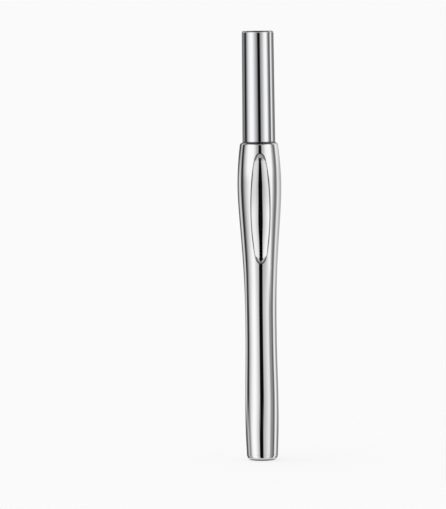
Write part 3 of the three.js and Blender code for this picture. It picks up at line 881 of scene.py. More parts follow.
def cap_spring():
    """Coil as one round wire along a helix."""
    wire = SPRING_WIRE / 2
    coil = SPRING_OUTER_RADIUS - wire
    steps = round(SPRING_STEPS_PER_TURN * SPRING_TURNS)
    rise = SPRING_TOP_Z - SPRING_Z - SPRING_WIRE
    lean = math.atan2(rise / SPRING_TURNS, 2 * math.pi * coil)
    turns = np.linspace(0, 2 * math.pi, WIRE_SIDES, endpoint=False)
    rings = []
    for k in range(steps + 1):
        a = 2 * math.pi * SPRING_TURNS * k / steps
        out = Vector((math.cos(a), math.sin(a), 0))
        along = Vector((-math.sin(a) * math.cos(lean), math.cos(a) * math.cos(lean), math.sin(lean)))
        side = along.cross(out)
        middle = out * coil + Vector((0, 0, SPRING_Z + wire + rise * k / steps))
        if k == 0:
            rings.append([tuple(middle)])
        rings.append([tuple(middle + out * wire * math.cos(b) + side * wire * math.sin(b)) for b in turns])
        if k == steps:
            rings.append([tuple(middle)])
    return ring_stack(rings, closed=False)


# Shader nodes
def feed(tree, socket, value):
    if isinstance(value, bpy.types.NodeSocket):
        tree.links.new(value, socket)
    else:
        socket.default_value = value


def node(tree, kind, inputs=(), output=0, **settings):
    """A node with its settings, its inputs fed by index or name; gives one of its outputs."""
    made = tree.nodes.new(kind)
    for key, value in settings.items():
        setattr(made, key, value)
    for key, value in dict(inputs).items():
        feed(tree, made.inputs[key], value)
    return made.outputs[output]


def maths(tree, operation, *values):
    return node(tree, "ShaderNodeMath", enumerate(values), operation=operation)


def largest(tree, first, *others):
    for other in others:
        first = maths(tree, "MAXIMUM", first, other)
    return first


def map_range(tree, value, low, high, to_low, to_high, smooth=False):
    kind = "SMOOTHSTEP" if smooth else "LINEAR"
    inputs = {"Value": value, "From Min": low, "From Max": high, "To Min": to_low, "To Max": to_high}
    return node(tree, "ShaderNodeMapRange", inputs, interpolation_type=kind)


def rising(tree, value, limits, smooth=True):
    """0 up to the lower limit and 1 from the upper one."""
    return map_range(tree, value, *limits, 0, 1, smooth)


def falling(tree, value, limits, smooth=True):
    """1 up to the lower limit and 0 from the upper one."""
    return map_range(tree, value, *limits, 1, 0, smooth)


def blend(tree, share, first, second):
    return node(tree, "ShaderNodeMix", {0: share, 2: first, 3: second}, data_type="FLOAT")


def blend_colours(tree, share, first, second):
    return node(tree, "ShaderNodeMix", {0: share, 6: first, 7: second}, output=2, data_type="RGBA")


def separate(tree, vector):
    made = tree.nodes.new("ShaderNodeSeparateXYZ")
    tree.links.new(vector, made.inputs[0])
    return made.outputs


def noise(tree, size, stretch=1.0, detail=2.0):
    """Noise with spots of a size, drawn out along the pen by a factor."""
    place = node(tree, "ShaderNodeTexCoord", output="Object")
    scale = 1 / (size * MM)
    vector = node(tree, "ShaderNodeMapping", {"Vector": place, "Scale": (scale, scale, scale / stretch)})
    return node(tree, "ShaderNodeTexNoise", {"Vector": vector, "Scale": 1.0, "Detail": detail})


# Finishes
NOISE_RANGE = (0.3, 0.7)  # where most of a noise lies
STRANDS = (0.12, 24, 3)  # the fibres' noise: size, stretch and detail
STRAND_RANGE = (0.35, 0.68)  # of this noise, from dark to light fibres
STRAND_WEAR = (0.6, 0.85)  # roughness
STRAND_DEPTH = 30  # microns
TIP_SHARE = 0.9  # of the tip colour at the very tip
# Painted shade in the chrome's colour: it goes towards black where ambient occlusion finds other surfaces
# close by
PAINTED_SHADE_REACH = 0.7  # distance within which another surface darkens the chrome's colour, as painted shade
PAINTED_SHADE_OPEN = (0.5, 0.93)  # share of open surroundings, from black painted shade to bright chrome
PAINTED_SHADE_LEVEL = 0.01
PAINTED_SHADE_SAMPLES = 8


def rgba(red, green, blue):
    return red, green, blue, 1


def finish(name, roughness, **constants):
    """A new Principled material; constants are set on the shader's own sockets."""
    material = bpy.data.materials.new(name)
    material.use_nodes = True
    shader = material.node_tree.nodes["Principled BSDF"]
    shader.inputs["Roughness"].default_value = roughness
    for key, value in constants.items():
        shader.inputs[key.replace("_", " ")].default_value = value
    return material, material.node_tree, shader


def dress(tree, shader, colour, spots, wear, grain, depth):
    """Gives a shader its colour, a roughness that follows spots and a bump that follows a grain."""
    tree.links.new(colour, shader.inputs["Base Color"])
    tree.links.new(map_range(tree, spots, *NOISE_RANGE, *wear), shader.inputs["Roughness"])
    relief = {"Height": grain, "Distance": depth * MICRON, "Strength": 1.0}
    tree.links.new(node(tree, "ShaderNodeBump", relief), shader.inputs["Normal"])


def varied(name, colours, clouds, roughness, wear, spots, depth, grain, crevices=False, **constants):
    """A finish whose colour, roughness and bump each follow a noise; the crevice flag paints shade into
    its colour, black in each crevice.

    The noises clouds, spots and grain are given by size, stretch and detail, the bump's depth in microns.
    """
    material, tree, shader = finish(name, roughness, **constants)
    first, second = colours
    colour = blend_colours(tree, noise(tree, *clouds), rgba(*first), rgba(*second))
    # Painted shade: ambient occlusion blends the colour towards black in each crevice and gap and at the
    # recess's ends
    if crevices:
        settings = {"Distance": PAINTED_SHADE_REACH * MM}
        openness = node(tree, "ShaderNodeAmbientOcclusion", settings, output="AO", samples=PAINTED_SHADE_SAMPLES)
        black = rgba(PAINTED_SHADE_LEVEL, PAINTED_SHADE_LEVEL, PAINTED_SHADE_LEVEL)
        colour = blend_colours(tree, rising(tree, openness, PAINTED_SHADE_OPEN, smooth=False), black, colour)
    dress(tree, shader, colour, noise(tree, *spots), wear, noise(tree, *grain), depth)
    return material


def fibre(name, dark, light, tip_colour=None):
    """Bonded fibres along the pen; a nib's thin tips are paler."""
    material, tree, shader = finish(name, roughness=0.75, Sheen_Weight=0.15, Sheen_Roughness=0.4)
    strands = noise(tree, *STRANDS)
    share = rising(tree, strands, STRAND_RANGE, smooth=False)
    colour = blend_colours(tree, share, rgba(*dark), rgba(*light))
    if tip_colour:
        height = separate(tree, node(tree, "ShaderNodeTexCoord", output="Object"))[2]
        share = map_range(tree, height, NIB_TAPER_Z * MM, NIB_TIP_Z * MM, 0, TIP_SHARE, True)
        colour = blend_colours(tree, share, colour, rgba(*tip_colour))
    dress(tree, shader, colour, strands, STRAND_WEAR, strands, STRAND_DEPTH)
    return material


CHROME = dict(
    clouds=(6, 3), roughness=0.03, wear=(0.015, 0.03), spots=(1.5, 6), depth=3, grain=(14, 2, 0),
    # paints shade into the chrome's colour in each crevice and gap
    crevices=True, Metallic=1.0,
)
WHITE_MOULDING = dict(clouds=(4, 3), spots=(0.6,), depth=3, grain=(0.3,), Subsurface_Scale=1 * MM)
FINISHES = {
    "barrel_chrome": (varied, dict(CHROME, colours=((0.95, 0.95, 0.95), (0.92, 0.92, 0.93)))),
    "cap_chrome": (varied, dict(CHROME, colours=((0.945, 0.945, 0.955), (0.91, 0.915, 0.935)))),
    "holder_black": (varied, dict(
        colours=((0.006, 0.006, 0.007), (0.012, 0.012, 0.013)), clouds=(4, 2),
        roughness=0.1, wear=(0.05, 0.09), spots=(0.8, 3), depth=2, grain=(3, 1, 1),
        IOR=2.6, Specular_IOR_Level=1.0,
    )),
    "nib_fibre": (fibre, dict(
        dark=(0.035, 0.035, 0.036), light=(0.11, 0.108, 0.106), tip_colour=(0.22, 0.215, 0.21),
    )),
    "wick_fibre": (fibre, dict(dark=(0.2, 0.17, 0.15), light=(0.4, 0.36, 0.33))),
    "tank_clear": (varied, dict(
        colours=((0.86, 0.88, 0.89), (0.76, 0.79, 0.8)), clouds=(5, 4),
        roughness=0.22, wear=(0.06, 0.13), spots=(1, 5), depth=2, grain=(1.6, 8),
        IOR=1.49, Transmission_Weight=0.75,
    )),
    "collector_white": (varied, dict(
        WHITE_MOULDING, colours=((0.84, 0.84, 0.82), (0.78, 0.78, 0.76)),
        roughness=0.35, wear=(0.29, 0.43), Subsurface_Weight=0.1,
    )),
    "soft_white": (varied, dict(
        WHITE_MOULDING, colours=((0.86, 0.85, 0.82), (0.8, 0.79, 0.76)),
        roughness=0.5, wear=(0.44, 0.58), Subsurface_Weight=0.2,
    )),
    "seal_rubber": (varied, dict(
        colours=((0.018, 0.018, 0.018), (0.03, 0.03, 0.029)), clouds=(0.5,),
        roughness=0.6, wear=(0.5, 0.7), spots=(0.3,), depth=4, grain=(0.1,),
    )),
    "steel": (varied, dict(
        colours=((0.66, 0.67, 0.69), (0.56, 0.57, 0.59)), clouds=(0.9,),
        roughness=0.15, wear=(0.1, 0.24), spots=(0.2,), depth=1, grain=(0.2,), Metallic=1.0,
    )),
}
made_finishes = {}


def finish_of(slot):
    if slot not in made_finishes:
        make, settings = FINISHES[slot]
        made_finishes[slot] = make(slot, **settings)
    return made_finishes[slot]


def add_mesh(name, shape, material):
    points, faces = shape
    mesh = bpy.data.meshes.new(name)
    mesh.from_pydata(np.array(points, float) * MM, [], faces)
    mesh.materials.append(material)
    made = bpy.data.objects.new(name, mesh)
    bpy.context.scene.collection.objects.link(made)
    return made


SLOTS = {part["node"]: part["material_slot"] for part in frame["record"]["subparts"]}


def add_piece(name, shape, cad_node):
    """A smooth piece that stands for a CAD node, on its body and in its finish."""
    piece = add_mesh(name, shape, finish_of(SLOTS[cad_node]))
    mesh = piece.data
    cleaner = bmesh.new()
    cleaner.from_mesh(mesh)
    loose = [v for v in cleaner.verts if not v.link_faces]
    bmesh.ops.delete(cleaner, geom=loose, context="VERTS")
    bmesh.ops.remove_doubles(cleaner, verts=cleaner.verts, dist=WELD_DISTANCE * MM)
    bmesh.ops.dissolve_degenerate(cleaner, edges=cleaner.edges, dist=WELD_DISTANCE * MM)
    bmesh.ops.recalc_face_normals(cleaner, faces=cleaner.faces)
    cleaner.to_mesh(mesh)
    cleaner.free()
    mesh.shade_smooth()
    mesh.set_sharp_from_angle(angle=SHARP_ANGLE)
    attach(piece, frame["nodes"][cad_node]["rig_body"])
    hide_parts(cad_node)
    return piece


add_piece("barrel", barrel(), "barrel_shell")
add_piece("end_cap", tail_plug(), "tail_plug")
add_piece("cap", cap(), "cap_shell")
add_piece("holder", nib_holder(), "nib_holder")
add_piece("nib", fork_nib(), "fork_nib")
add_piece("sealing_cup", inner_cap(), "inner_cap")
add_piece("cup_retainer", inner_cap_retainer(), "inner_cap_retainer")
add_piece("stopper", tank_stopper(), "tank_stopper")
add_piece("tank", ink_tank(), "ink_tank")
add_piece("wick", relay_wick(), "relay_wick")
add_piece("collector", ink_collector(), "ink_collector")
add_piece("seal", seal_ring(), "holder_seal_ring")
for ball in ("mixing_ball_1", "mixing_ball_2"):
    add_piece(ball.replace("mixing_", ""), mixing_ball(ball), ball)
spring = add_piece("spring", cap_spring(), "cap_spring")
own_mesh(spring)

# Photograph's frame: the pen's place in it, in its pixels
PHOTO_WIDTH = 446
PHOTO_HEIGHT = 509
PEN_PIXELS = 429.6  # foot to cap top
PEN_MIDDLE_PIXEL = (260.03, 245.85)

# Camera
CAMERA_AZIMUTH = math.radians(-2.1)
CAMERA_ELEVATION = math.radians(3.0)
CAMERA_ROLL = math.radians(0.68)
CAMERA_DISTANCE = 1500


def add_camera():
    low, high = cad_box
    pixel = (high.z - low.z) / PEN_PIXELS
    distance = CAMERA_DISTANCE * MM
    data = bpy.data.cameras.new("camera")
    data.lens = data.sensor_width * distance / (PHOTO_HEIGHT * pixel)
    camera = bpy.data.objects.new("camera", data)
    back = Vector(around(math.cos(CAMERA_ELEVATION), CAMERA_AZIMUTH, math.sin(CAMERA_ELEVATION)))
    turn = (-back).to_track_quat("-Z", "Y") @ Quaternion((0, 0, 1), -CAMERA_ROLL)
    right = PEN_MIDDLE_PIXEL[0] - PHOTO_WIDTH / 2
    up = PHOTO_HEIGHT / 2 - PEN_MIDDLE_PIXEL[1]
    aim = Vector((0, 0, (low.z + high.z) / 2)) - turn @ Vector((right, up, 0)) * pixel
    camera.location = aim + back * distance
    camera.rotation_mode = "QUATERNION"
    camera.rotation_quaternion = turn
    bpy.context.scene.collection.objects.link(camera)
    bpy.context.scene.camera = camera


# Studio as the chrome sees it, in rows of strips: degrees to the right of the camera, brightness
STRIPS_FLARE = (
    (-180, 0.08), (-146, 0.08), (-134, 0.5), (-126, 0.76), (-116, 0.5), (-110, 0.03), (-101, 0.02),
    (-96, 0.1), (-88, 0.33), (-78, 0.56), (-66, 0.78), (-51, 1.0), (-42, 1.01), (-36, 0.88), (-24, 0.63),
    (-11, 0.56), (-8, 0.003), (14, 0.003), (16, 0.45), (31, 0.53), (45, 0.69), (56, 0.9), (67, 1.0),
    (76, 0.52), (85, 0.22), (94, 0.14), (100, 0.25), (111, 0.86), (122, 0.7), (136, 0.48), (180, 0.45),
)
STRIPS_BARREL = (
    (-180, 0.38), (-140, 0.42), (-131, 0.75), (-124, 0.6), (-120, 0.04), (-101, 0.03), (-95, 0.35),
    (-85, 0.6), (-67, 0.9), (-58, 1.01), (-46, 1.02), (-38, 0.93), (-20, 0.6), (-14.5, 0.56),
    (-11.5, 0.003), (12.5, 0.003), (15, 0.5), (25, 0.57), (36, 0.72), (46, 0.84), (58, 0.82), (62, 0.5),
    (68, 0.3), (80, 0.27), (90, 0.1), (95, 0.12), (101, 0.55), (106, 0.95), (117, 0.9), (125, 0.48),
    (142, 0.26), (180, 0.38),
)
STRIPS_FOOT = (
    (-180, 0.08), (-140, 0.1), (-129, 0.12), (-120, 0.5), (-114, 0.58), (-103, 0.3), (-93, 0.25),
    (-87, 0.55), (-80, 0.8), (-68, 1.0), (-50, 1.02), (-44, 0.93), (-26, 0.6), (-20.5, 0.56),
    (-17.5, 0.003), (6.5, 0.003), (9, 0.5), (20, 0.57), (32, 0.72), (42, 0.84), (54, 0.82), (58, 0.5),
    (64, 0.3), (76, 0.27), (87, 0.1), (92, 0.12), (97, 0.5), (103, 0.95), (114, 0.9), (122, 0.45),
    (140, 0.2), (180, 0.1),
)
STRIPS_GRIP = (
    (-180, 0.04), (-138, 0.05), (-132, 0.18), (-124, 0.58), (-117, 0.5), (-111, 0.06), (-105, 0.02),
    (-99, 0.03), (-93, 0.32), (-86, 0.55), (-78, 0.7), (-70, 0.9), (-63, 1.01), (-36, 1.01), (-25, 0.83),
    (-13, 0.46), (-5, 0.4), (-2, 0.005), (12.5, 0.005), (15, 0.38), (23, 0.58), (29, 0.65), (35, 0.86),
    (47, 1.0), (70, 1.0), (79, 0.52), (87, 0.28), (94, 0.14), (102, 0.18), (112, 0.9), (122, 0.82),
    (180, 0.34),
)
STRIPS_CAP = (
    (-180, 0.2), (-125, 0.23), (-115, 0.2), (-112.5, 0.008), (-99.5, 0.008), (-93, 0.18), (-84, 0.47),
    (-75, 0.72), (-66, 0.9), (-57, 1.01), (-45, 1.01), (-40, 0.97), (-24, 0.57), (-12, 0.33), (-6, 0.22),
    (-4, 0.005), (13, 0.005), (15, 0.3), (23, 0.41), (30, 0.52), (45, 0.95), (54, 1.0), (62, 1.0),
    (69, 0.6), (77, 0.27), (86, 0.09), (92, 0.1), (103, 0.98), (109, 0.84), (116, 0.42), (126, 0.19),
    (180, 0.2),
)
STRIPS_HOLDER = (
    (-180, 0.6), (-150, 0.6), (-135, 0.25), (-120, 0.15), (-108, 0.01), (-90, 0.01), (-84, 0.6),
    (-78, 1.2), (-68, 1.2), (-57, 0.95), (-45, 0.7), (-33, 0.48), (-28, 0.3), (-23, 0.01), (20, 0.01),
    (26, 0.16), (33, 0.2), (45, 0.3), (57, 0.45), (70, 0.62), (82, 0.55), (90, 0.01), (106, 0.01),
    (118, 0.1), (140, 0.2), (180, 0.2),
)
STRIPS_RECESS = (  # in percent of its half width
    (-100, 0.1), (-92, 0.2), (-84, 0.9), (-62, 0.92), (-42, 0.9), (-34, 0.82), (-26, 0.7), (-18, 0.63),
    (-15, 0.56), (-11.5, 0.003), (16.5, 0.003), (20, 0.55), (31, 0.64), (39, 0.76), (48, 0.86),
    (58, 0.95), (84, 1.0), (92, 0.25), (100, 0.15),
)
STRIPS_ROUND = (
    (-180, 0.05), (-176, 0.05), (-174, 0.8), (-164, 0.8), (-160, 0.07), (-146, 0.07), (-130, 0.7),
    (-119, 0.55), (-109, 0.1), (-98, 0.08), (-90, 0.35), (-72, 0.85), (-56, 1.0), (-42, 1.0), (-28, 0.68),
    (-15, 0.38), (0, 0.33), (15, 0.36), (30, 0.5), (45, 0.75), (58, 1.0), (68, 1.0), (78, 0.5),
    (90, 0.15), (98, 0.2), (110, 0.85), (122, 0.7), (139, 0.42), (159, 0.36), (164, 0.8), (174, 0.8),
    (176, 0.05),
)
STRIPS_RISE = (-1, 4)  # elevations over which the grip's strips take over from the flare's
STRIPS_BOTTOM = (-15.5, -13)  # below these elevations the strips all round take over,
STRIPS_TOP = (17, 20)  # and above these,
STRIPS_BACK = (math.radians(146), math.radians(150))  # and behind the pen
CEILING = (38, 46)  # elevations over which they end at a dark ceiling
CEILING_LEVEL = 0.012
GROUND = (-80, -50)  # and run together on the ground
GROUND_LEVEL = 0.4
BACKDROP = 0.956  # the photograph's background
SIDE_LIGHT = 0.35  # on matt surfaces, added on the left and taken off on the right
TOP_LIGHT = 0.25  # added from above and taken off from below
TOP_LIGHT_MEAN = TOP_LIGHT * 2 / 3  # of what falls on a level floor


def level_ramp(tree, share, stops):
    made = tree.nodes.new("ShaderNodeValToRGB")
    feed(tree, made.inputs[0], share)
    elements = made.color_ramp.elements
    while len(elements) < len(stops):
        elements.new(0.5)
    for element, (place, level) in zip(elements, stops):
        element.position = place
        element.color = rgba(level, level, level)
    return made.outputs[0]


def studio_ramp(tree, azimuth, stops, nearness=0):
    """Strips by azimuth; nearness is the mirror's radius over that of strips close round it."""
    turns = maths(tree, "DIVIDE", maths(tree, "SUBTRACT", azimuth, CAMERA_AZIMUTH), 2 * math.pi)
    places = []
    for degrees, level in stops:
        parallax = math.degrees(math.asin(nearness * math.sin(math.radians(degrees / 2))))
        places.append(((degrees - parallax) / 360 + 0.5, level))
    return level_ramp(tree, maths(tree, "FRACT", maths(tree, "ADD", turns, 0.5)), places)


def azimuth_of(tree, x, y):
    return maths(tree, "ARCTAN2", x, maths(tree, "MULTIPLY", y, -1.0))


def add_world():
    """World whose strips only mirrors see; matt surfaces get soft light and the camera the backdrop."""
    world = bpy.data.worlds.new("studio")
    bpy.context.scene.world = world
    world.use_nodes = True
    tree = world.node_tree
    direction = node(tree, "ShaderNodeTexCoord", output="Generated")
    x, y, z = separate(tree, direction)
    azimuth = azimuth_of(tree, x, y)
    elevation = maths(tree, "DEGREES", maths(tree, "ARCSINE", z))
    flare = studio_ramp(tree, azimuth, STRIPS_FLARE)
    grip = studio_ramp(tree, azimuth, STRIPS_GRIP)
    strips = blend(tree, rising(tree, elevation, STRIPS_RISE), flare, grip)

    behind = rising(tree, maths(tree, "ABSOLUTE", azimuth), STRIPS_BACK)
    below = falling(tree, elevation, STRIPS_BOTTOM)
    above = rising(tree, elevation, STRIPS_TOP)
    all_round = studio_ramp(tree, azimuth, STRIPS_ROUND)
    all_round = blend(tree, falling(tree, elevation, GROUND), all_round, GROUND_LEVEL)
    all_round = blend(tree, rising(tree, elevation, CEILING), all_round, CEILING_LEVEL)
    seen = blend(tree, largest(tree, behind, below, above), strips, all_round)

    brighter = {0: direction, 1: (-SIDE_LIGHT, 0, TOP_LIGHT)}
    side = node(tree, "ShaderNodeVectorMath", brighter, output=1, operation="DOT_PRODUCT")
    plain = maths(tree, "ADD", side, 1 - TOP_LIGHT_MEAN)
    path = tree.nodes.new("ShaderNodeLightPath").outputs
    lit = blend(tree, path["Is Glossy Ray"], plain, seen)
    shown = largest(tree, path["Is Camera Ray"], path["Is Transmission Ray"])
    level = blend(tree, shown, lit, BACKDROP)
    tree.links.new(level, tree.nodes["Background"].inputs["Color"])


# Strips that stand close round a stretch of the pen, so that only this stretch mirrors them
NEAR_GAP = 0.5  # distance from the pen
NEAR_ENDS = (math.radians(98), math.radians(112))  # where they fade out to each side
NEAR_BARREL_Z = (1.2, 66)
NEAR_BARREL_RINGS = 40
NEAR_BARREL_FADE = (48, 66)  # heights over which they fade out
NEAR_FOOT_FADE = (7, 22)  # and over which the foot's turn into the barrel's
MIRROR_DEPTH = 1.5  # between the ray depths of a first and a second mirror

# Strips that stand just in front of the recess, in shares of its half length
RECESS_STRIPS_GAP = 0.25
RECESS_STRIPS_ALONG = (-0.93, 0.93)
RECESS_STRIPS_TOP = (0.84, 0.92)  # where they fade out
RECESS_STRIPS_BOTTOM = (-0.92, -0.88)
RECESS_STRIPS_DIM = (-0.15, 0.3)  # where they get dimmer
RECESS_STRIPS_DIMMED = 0.83
RECESS_FLAG_X = 0.08  # middle of the black strip, which keeps its width in the lower half
RECESS_FLAG_EDGES = (0.4, 0.48)
RECESS_FLAG_TOP = (-0.4, -0.2)  # where its width begins to follow that of the recess

# Dark shades that slope out from just inside the recess's ends, so that only its steep edge mirrors them
SHADE_FROM = 0.88  # share of the half length where they begin on each side
SHADE_INSET = 0.45
SHADE_REACH = 1.8
SHADE_SLOPE = math.radians(31)
UPPER_SHADE_LEVELS = (0.005, 0.24)  # in the middle and at the sides
LOWER_SHADE_LEVELS = (0.08, 0.2)

# Card over the cap, so that its flat top stands out from the backdrop
CARD_RADIUS = 40
CARD_RISE = 3
CARD_LEVELS = (0.2, 0.6)  # in its middle and at its edge
CARD_SEEN = 38  # distance within which a mirror sees it, so that the lip does not
CARD_NEAR = (7, 10)  # in front only a mirror further off than this sees it, and not the cap's edge
CARD_FRONT = (-2, 2)

# Floor
FLOOR_HALF = 600
FLOOR_DROP = 0.05  # clear of the foot
FLOOR_FADE = (40, 200)  # distance from the pen over which it turns into the backdrop
FLOOR_SHADOW = 0.25  # strength of the pen's shadow
FLOOR_MIRROR = (22, 26)  # distance within which the foot mirrors the strips in it
FLOOR_BACK = (math.radians(115), math.radians(125))  # behind these it mirrors the strips all round
FLOOR_CONTACT = (5.4, 5.8)  # distance within which the foot mirrors plain grey
FLOOR_CONTACT_LEVEL = 0.6


def position(tree):
    """Coordinates of the shaded point."""
    inputs = {0: node(tree, "ShaderNodeNewGeometry", output="Position"), "Scale": 1 / MM}
    return separate(tree, node(tree, "ShaderNodeVectorMath", inputs, operation="SCALE"))


def axis_distance(tree, x, y):
    squares = (maths(tree, "MULTIPLY", side, side) for side in (x, y))
    return maths(tree, "SQRT", maths(tree, "ADD", *squares))


def studio_material(name, surface):
    """A material with nothing but the shader that surface makes."""
    material = bpy.data.materials.new(name)
    material.use_nodes = True
    tree = material.node_tree
    tree.nodes.remove(tree.nodes["Principled BSDF"])
    tree.links.new(surface(tree), tree.nodes["Material Output"].inputs["Surface"])
    return material


def add_mirrored(name, shape, shade):
    """A thin wall that first mirrors see from its front; shade gives its light and where it is clear."""
    def surface(tree):
        light, clear_share = shade(tree)
        behind = node(tree, "ShaderNodeNewGeometry", output="Backfacing")
        depth = node(tree, "ShaderNodeLightPath", output="Ray Depth")
        hidden = largest(tree, behind, maths(tree, "GREATER_THAN", depth, MIRROR_DEPTH), clear_share)
        shown = node(tree, "ShaderNodeEmission", {"Color": light})
        clear = node(tree, "ShaderNodeBsdfTransparent")
        return node(tree, "ShaderNodeMixShader", {0: hidden, 1: shown, 2: clear})

    wall = add_mesh(name, shape, studio_material(name, surface))
    wall.visible_camera = False
    wall.visible_diffuse = False
    wall.visible_transmission = False
    wall.visible_shadow = False


def add_near_strips(name, outline, stops, fade=None, low_stops=None, low_fade=None):
    """A wall round the front of an outline, lit inside by strips, which may fade out between two heights.

    Lower strips, if there are any, turn into them over the heights of low_fade.
    """
    angles = CAMERA_AZIMUTH + np.linspace(-NEAR_ENDS[1], NEAR_ENDS[1], SIDES)
    rows = [[around(r + NEAR_GAP, a, z) for a in angles] for r, z in outline]
    nearness = outline[0][0] / (outline[0][0] + NEAR_GAP)

    def shade(tree):
        x, y, z = position(tree)
        azimuth = azimuth_of(tree, x, y)
        light = studio_ramp(tree, azimuth, stops, nearness)
        if low_stops:
            low_light = studio_ramp(tree, azimuth, low_stops, nearness)
            light = blend(tree, rising(tree, z, low_fade), low_light, light)
        turned = maths(tree, "ABSOLUTE", maths(tree, "SUBTRACT", azimuth, CAMERA_AZIMUTH))
        clear = rising(tree, turned, NEAR_ENDS)
        if fade:
            clear = largest(tree, clear, rising(tree, z, fade))
        return light, clear

    add_mirrored(name, row_stack(rows), shade)


def add_recess_strips():
    """Strips just in front of the recess."""
    rows = []
    for t in np.linspace(*RECESS_STRIPS_ALONG, FINE_SIDES):
        z = RECESS_Z + RECESS_HALF_LENGTH * t
        width = float(recess_width(t))
        front = math.sqrt(float(wall_radius(z)) ** 2 - width ** 2) + RECESS_STRIPS_GAP
        rows.append([(-width, -front, z), (width, -front, z)])

    def shade(tree):
        x, y, z = position(tree)
        t = maths(tree, "DIVIDE", maths(tree, "SUBTRACT", z, RECESS_Z), RECESS_HALF_LENGTH)
        narrowing = maths(tree, "SQRT", maths(tree, "SUBTRACT", 1.0, maths(tree, "MULTIPLY", t, t)))
        width = maths(tree, "MULTIPLY", narrowing, 2 * RECESS_HALF_WIDTH)
        share = maths(tree, "ADD", maths(tree, "DIVIDE", x, width), 0.5)
        stops = [(percent / 200 + 0.5, level) for percent, level in STRIPS_RECESS]
        dimming = map_range(tree, t, *RECESS_STRIPS_DIM, 1, RECESS_STRIPS_DIMMED, True)
        light = maths(tree, "MULTIPLY", level_ramp(tree, share, stops), dimming)
        aside = maths(tree, "ABSOLUTE", maths(tree, "SUBTRACT", x, RECESS_FLAG_X))
        beside_flag = rising(tree, aside, RECESS_FLAG_EDGES, smooth=False)
        above_flag = rising(tree, t, RECESS_FLAG_TOP, smooth=False)
        light = maths(tree, "MINIMUM", light, largest(tree, beside_flag, above_flag))
        above = rising(tree, t, RECESS_STRIPS_TOP, smooth=False)
        below = falling(tree, t, RECESS_STRIPS_BOTTOM, smooth=False)
        return light, largest(tree, above, below)

    add_mirrored("recess_strips", row_stack(rows), shade)


def add_recess_shade(name, end, levels):
    """The shade of the upper end, 1, or the lower end, -1."""
    side = math.acos(SHADE_FROM)
    turns = np.linspace(-side, side, FINE_SIDES)
    along = np.cos(turns)
    x = end * np.sign(turns) * recess_width(along)
    x *= 1 - SHADE_INSET / recess_width(SHADE_FROM)
    z = RECESS_Z + end * (RECESS_HALF_LENGTH * along - SHADE_INSET)
    reach = SHADE_REACH * (1 - (turns / side) ** 2)
    y = np.array([-recess_front(*place, -math.inf) for place in zip(x, z)])
    inner = list(zip(x, y, z))
    outer = list(zip(x, y - reach * math.cos(SHADE_SLOPE), z - end * reach * math.sin(SHADE_SLOPE)))

    def shade(tree):
        aside = maths(tree, "ABSOLUTE", position(tree)[0])
        return map_range(tree, aside, 0, abs(x[0]), *levels), 0.0

    add_mirrored(name, row_stack([inner, outer]), shade)


def add_cap_card():
    """A grey card over the cap, which its flat top mirrors."""
    ring = circle(CARD_RADIUS, CAP_TOP_Z + CARD_RISE, FINE_SIDES)

    def shade(tree):
        x, y, z = position(tree)
        light = map_range(tree, axis_distance(tree, x, y), 0, CARD_RADIUS, *CARD_LEVELS)
        length = maths(tree, "DIVIDE", node(tree, "ShaderNodeLightPath", output="Ray Length"), MM)
        far = maths(tree, "GREATER_THAN", length, CARD_SEEN)
        near = falling(tree, length, CARD_NEAR)
        front = falling(tree, y, CARD_FRONT)
        return light, largest(tree, far, maths(tree, "MULTIPLY", near, front))

    add_mirrored("cap_card", (ring, [tuple(reversed(range(FINE_SIDES)))]), shade)


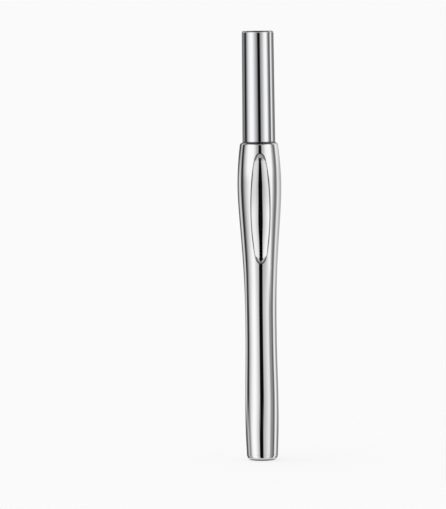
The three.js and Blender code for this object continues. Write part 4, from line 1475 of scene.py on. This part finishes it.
def add_floor():
    """A pale floor that takes the pen's shadow and fades into the backdrop."""
    def surface(tree):
        x, y, z = position(tree)
        distance = axis_distance(tree, x, y)
        azimuth = azimuth_of(tree, x, y)
        # The foot mirrors a place on the floor in rays that turn further than the place itself
        doubled = maths(tree, "MULTIPLY", distance, 2.0)
        spread = maths(tree, "DIVIDE", doubled, maths(tree, "SUBTRACT", doubled, FOOT_RADIUS))
        strips = studio_ramp(tree, maths(tree, "MULTIPLY", azimuth, spread), STRIPS_FOOT)
        behind = rising(tree, maths(tree, "ABSOLUTE", azimuth), FLOOR_BACK)
        strips = blend(tree, behind, strips, studio_ramp(tree, azimuth, STRIPS_ROUND))
        contact = rising(tree, distance, FLOOR_CONTACT, smooth=False)
        glossy = blend(tree, contact, FLOOR_CONTACT_LEVEL, strips)
        pale = rgba(BACKDROP, BACKDROP, BACKDROP)
        matt = node(tree, "ShaderNodeBsdfDiffuse", {"Color": pale})
        shown = node(tree, "ShaderNodeEmission", {"Color": pale})
        seen = node(tree, "ShaderNodeEmission", {"Color": glossy})
        clear = node(tree, "ShaderNodeBsdfTransparent")
        shaded = node(tree, "ShaderNodeMixShader", {0: FLOOR_SHADOW, 1: shown, 2: matt})
        mirrored = node(tree, "ShaderNodeLightPath", output="Is Glossy Ray")
        solid = node(tree, "ShaderNodeMixShader", {0: mirrored, 1: shaded, 2: seen})
        mirror_fade = rising(tree, distance, FLOOR_MIRROR, smooth=False)
        fade = blend(tree, mirrored, rising(tree, distance, FLOOR_FADE), mirror_fade)
        return node(tree, "ShaderNodeMixShader", {0: fade, 1: solid, 2: clear})

    sides = ((-1, -1), (1, -1), (1, 1), (-1, 1))
    corners = [(x * FLOOR_HALF, y * FLOOR_HALF, -FLOOR_DROP) for x, y in sides]
    floor = add_mesh("floor", (corners, [(0, 1, 2, 3)]), studio_material("floor", surface))


add_camera()
add_world()
cap_wall = [(CAP_MOUTH_RADIUS, CAP_MOUTH_Z), (CAP_MOUTH_RADIUS - CAP_TAPER, CAP_TOP_Z - CAP_TOP_ROUND)]
add_near_strips("cap_strips", cap_wall, STRIPS_CAP)
lower_wall = [(float(wall_radius(z)), float(z)) for z in np.linspace(*NEAR_BARREL_Z, NEAR_BARREL_RINGS)]
add_near_strips("barrel_strips", lower_wall, STRIPS_BARREL, NEAR_BARREL_FADE, STRIPS_FOOT, NEAR_FOOT_FADE)
holder_wall = [(COLLAR_RADIUS, SHELL_TOP_Z), (BAND_TOP_RADIUS, BAND_Z), (CONE_RADIUS, CONE_Z),
               (CONE_TOP_RADIUS, CONE_TOP_Z), (NOSE_BASE_RADIUS, NOSE_Z), (NOSE_TIP_RADIUS, NOSE_TOP_Z)]
add_near_strips("holder_strips", holder_wall, STRIPS_HOLDER)
add_cap_card()
add_recess_strips()
add_recess_shade("upper_shade", 1, UPPER_SHADE_LEVELS)
add_recess_shade("lower_shade", -1, LOWER_SHADE_LEVELS)
add_floor()
bpy.context.scene.view_settings.view_transform = "Standard"
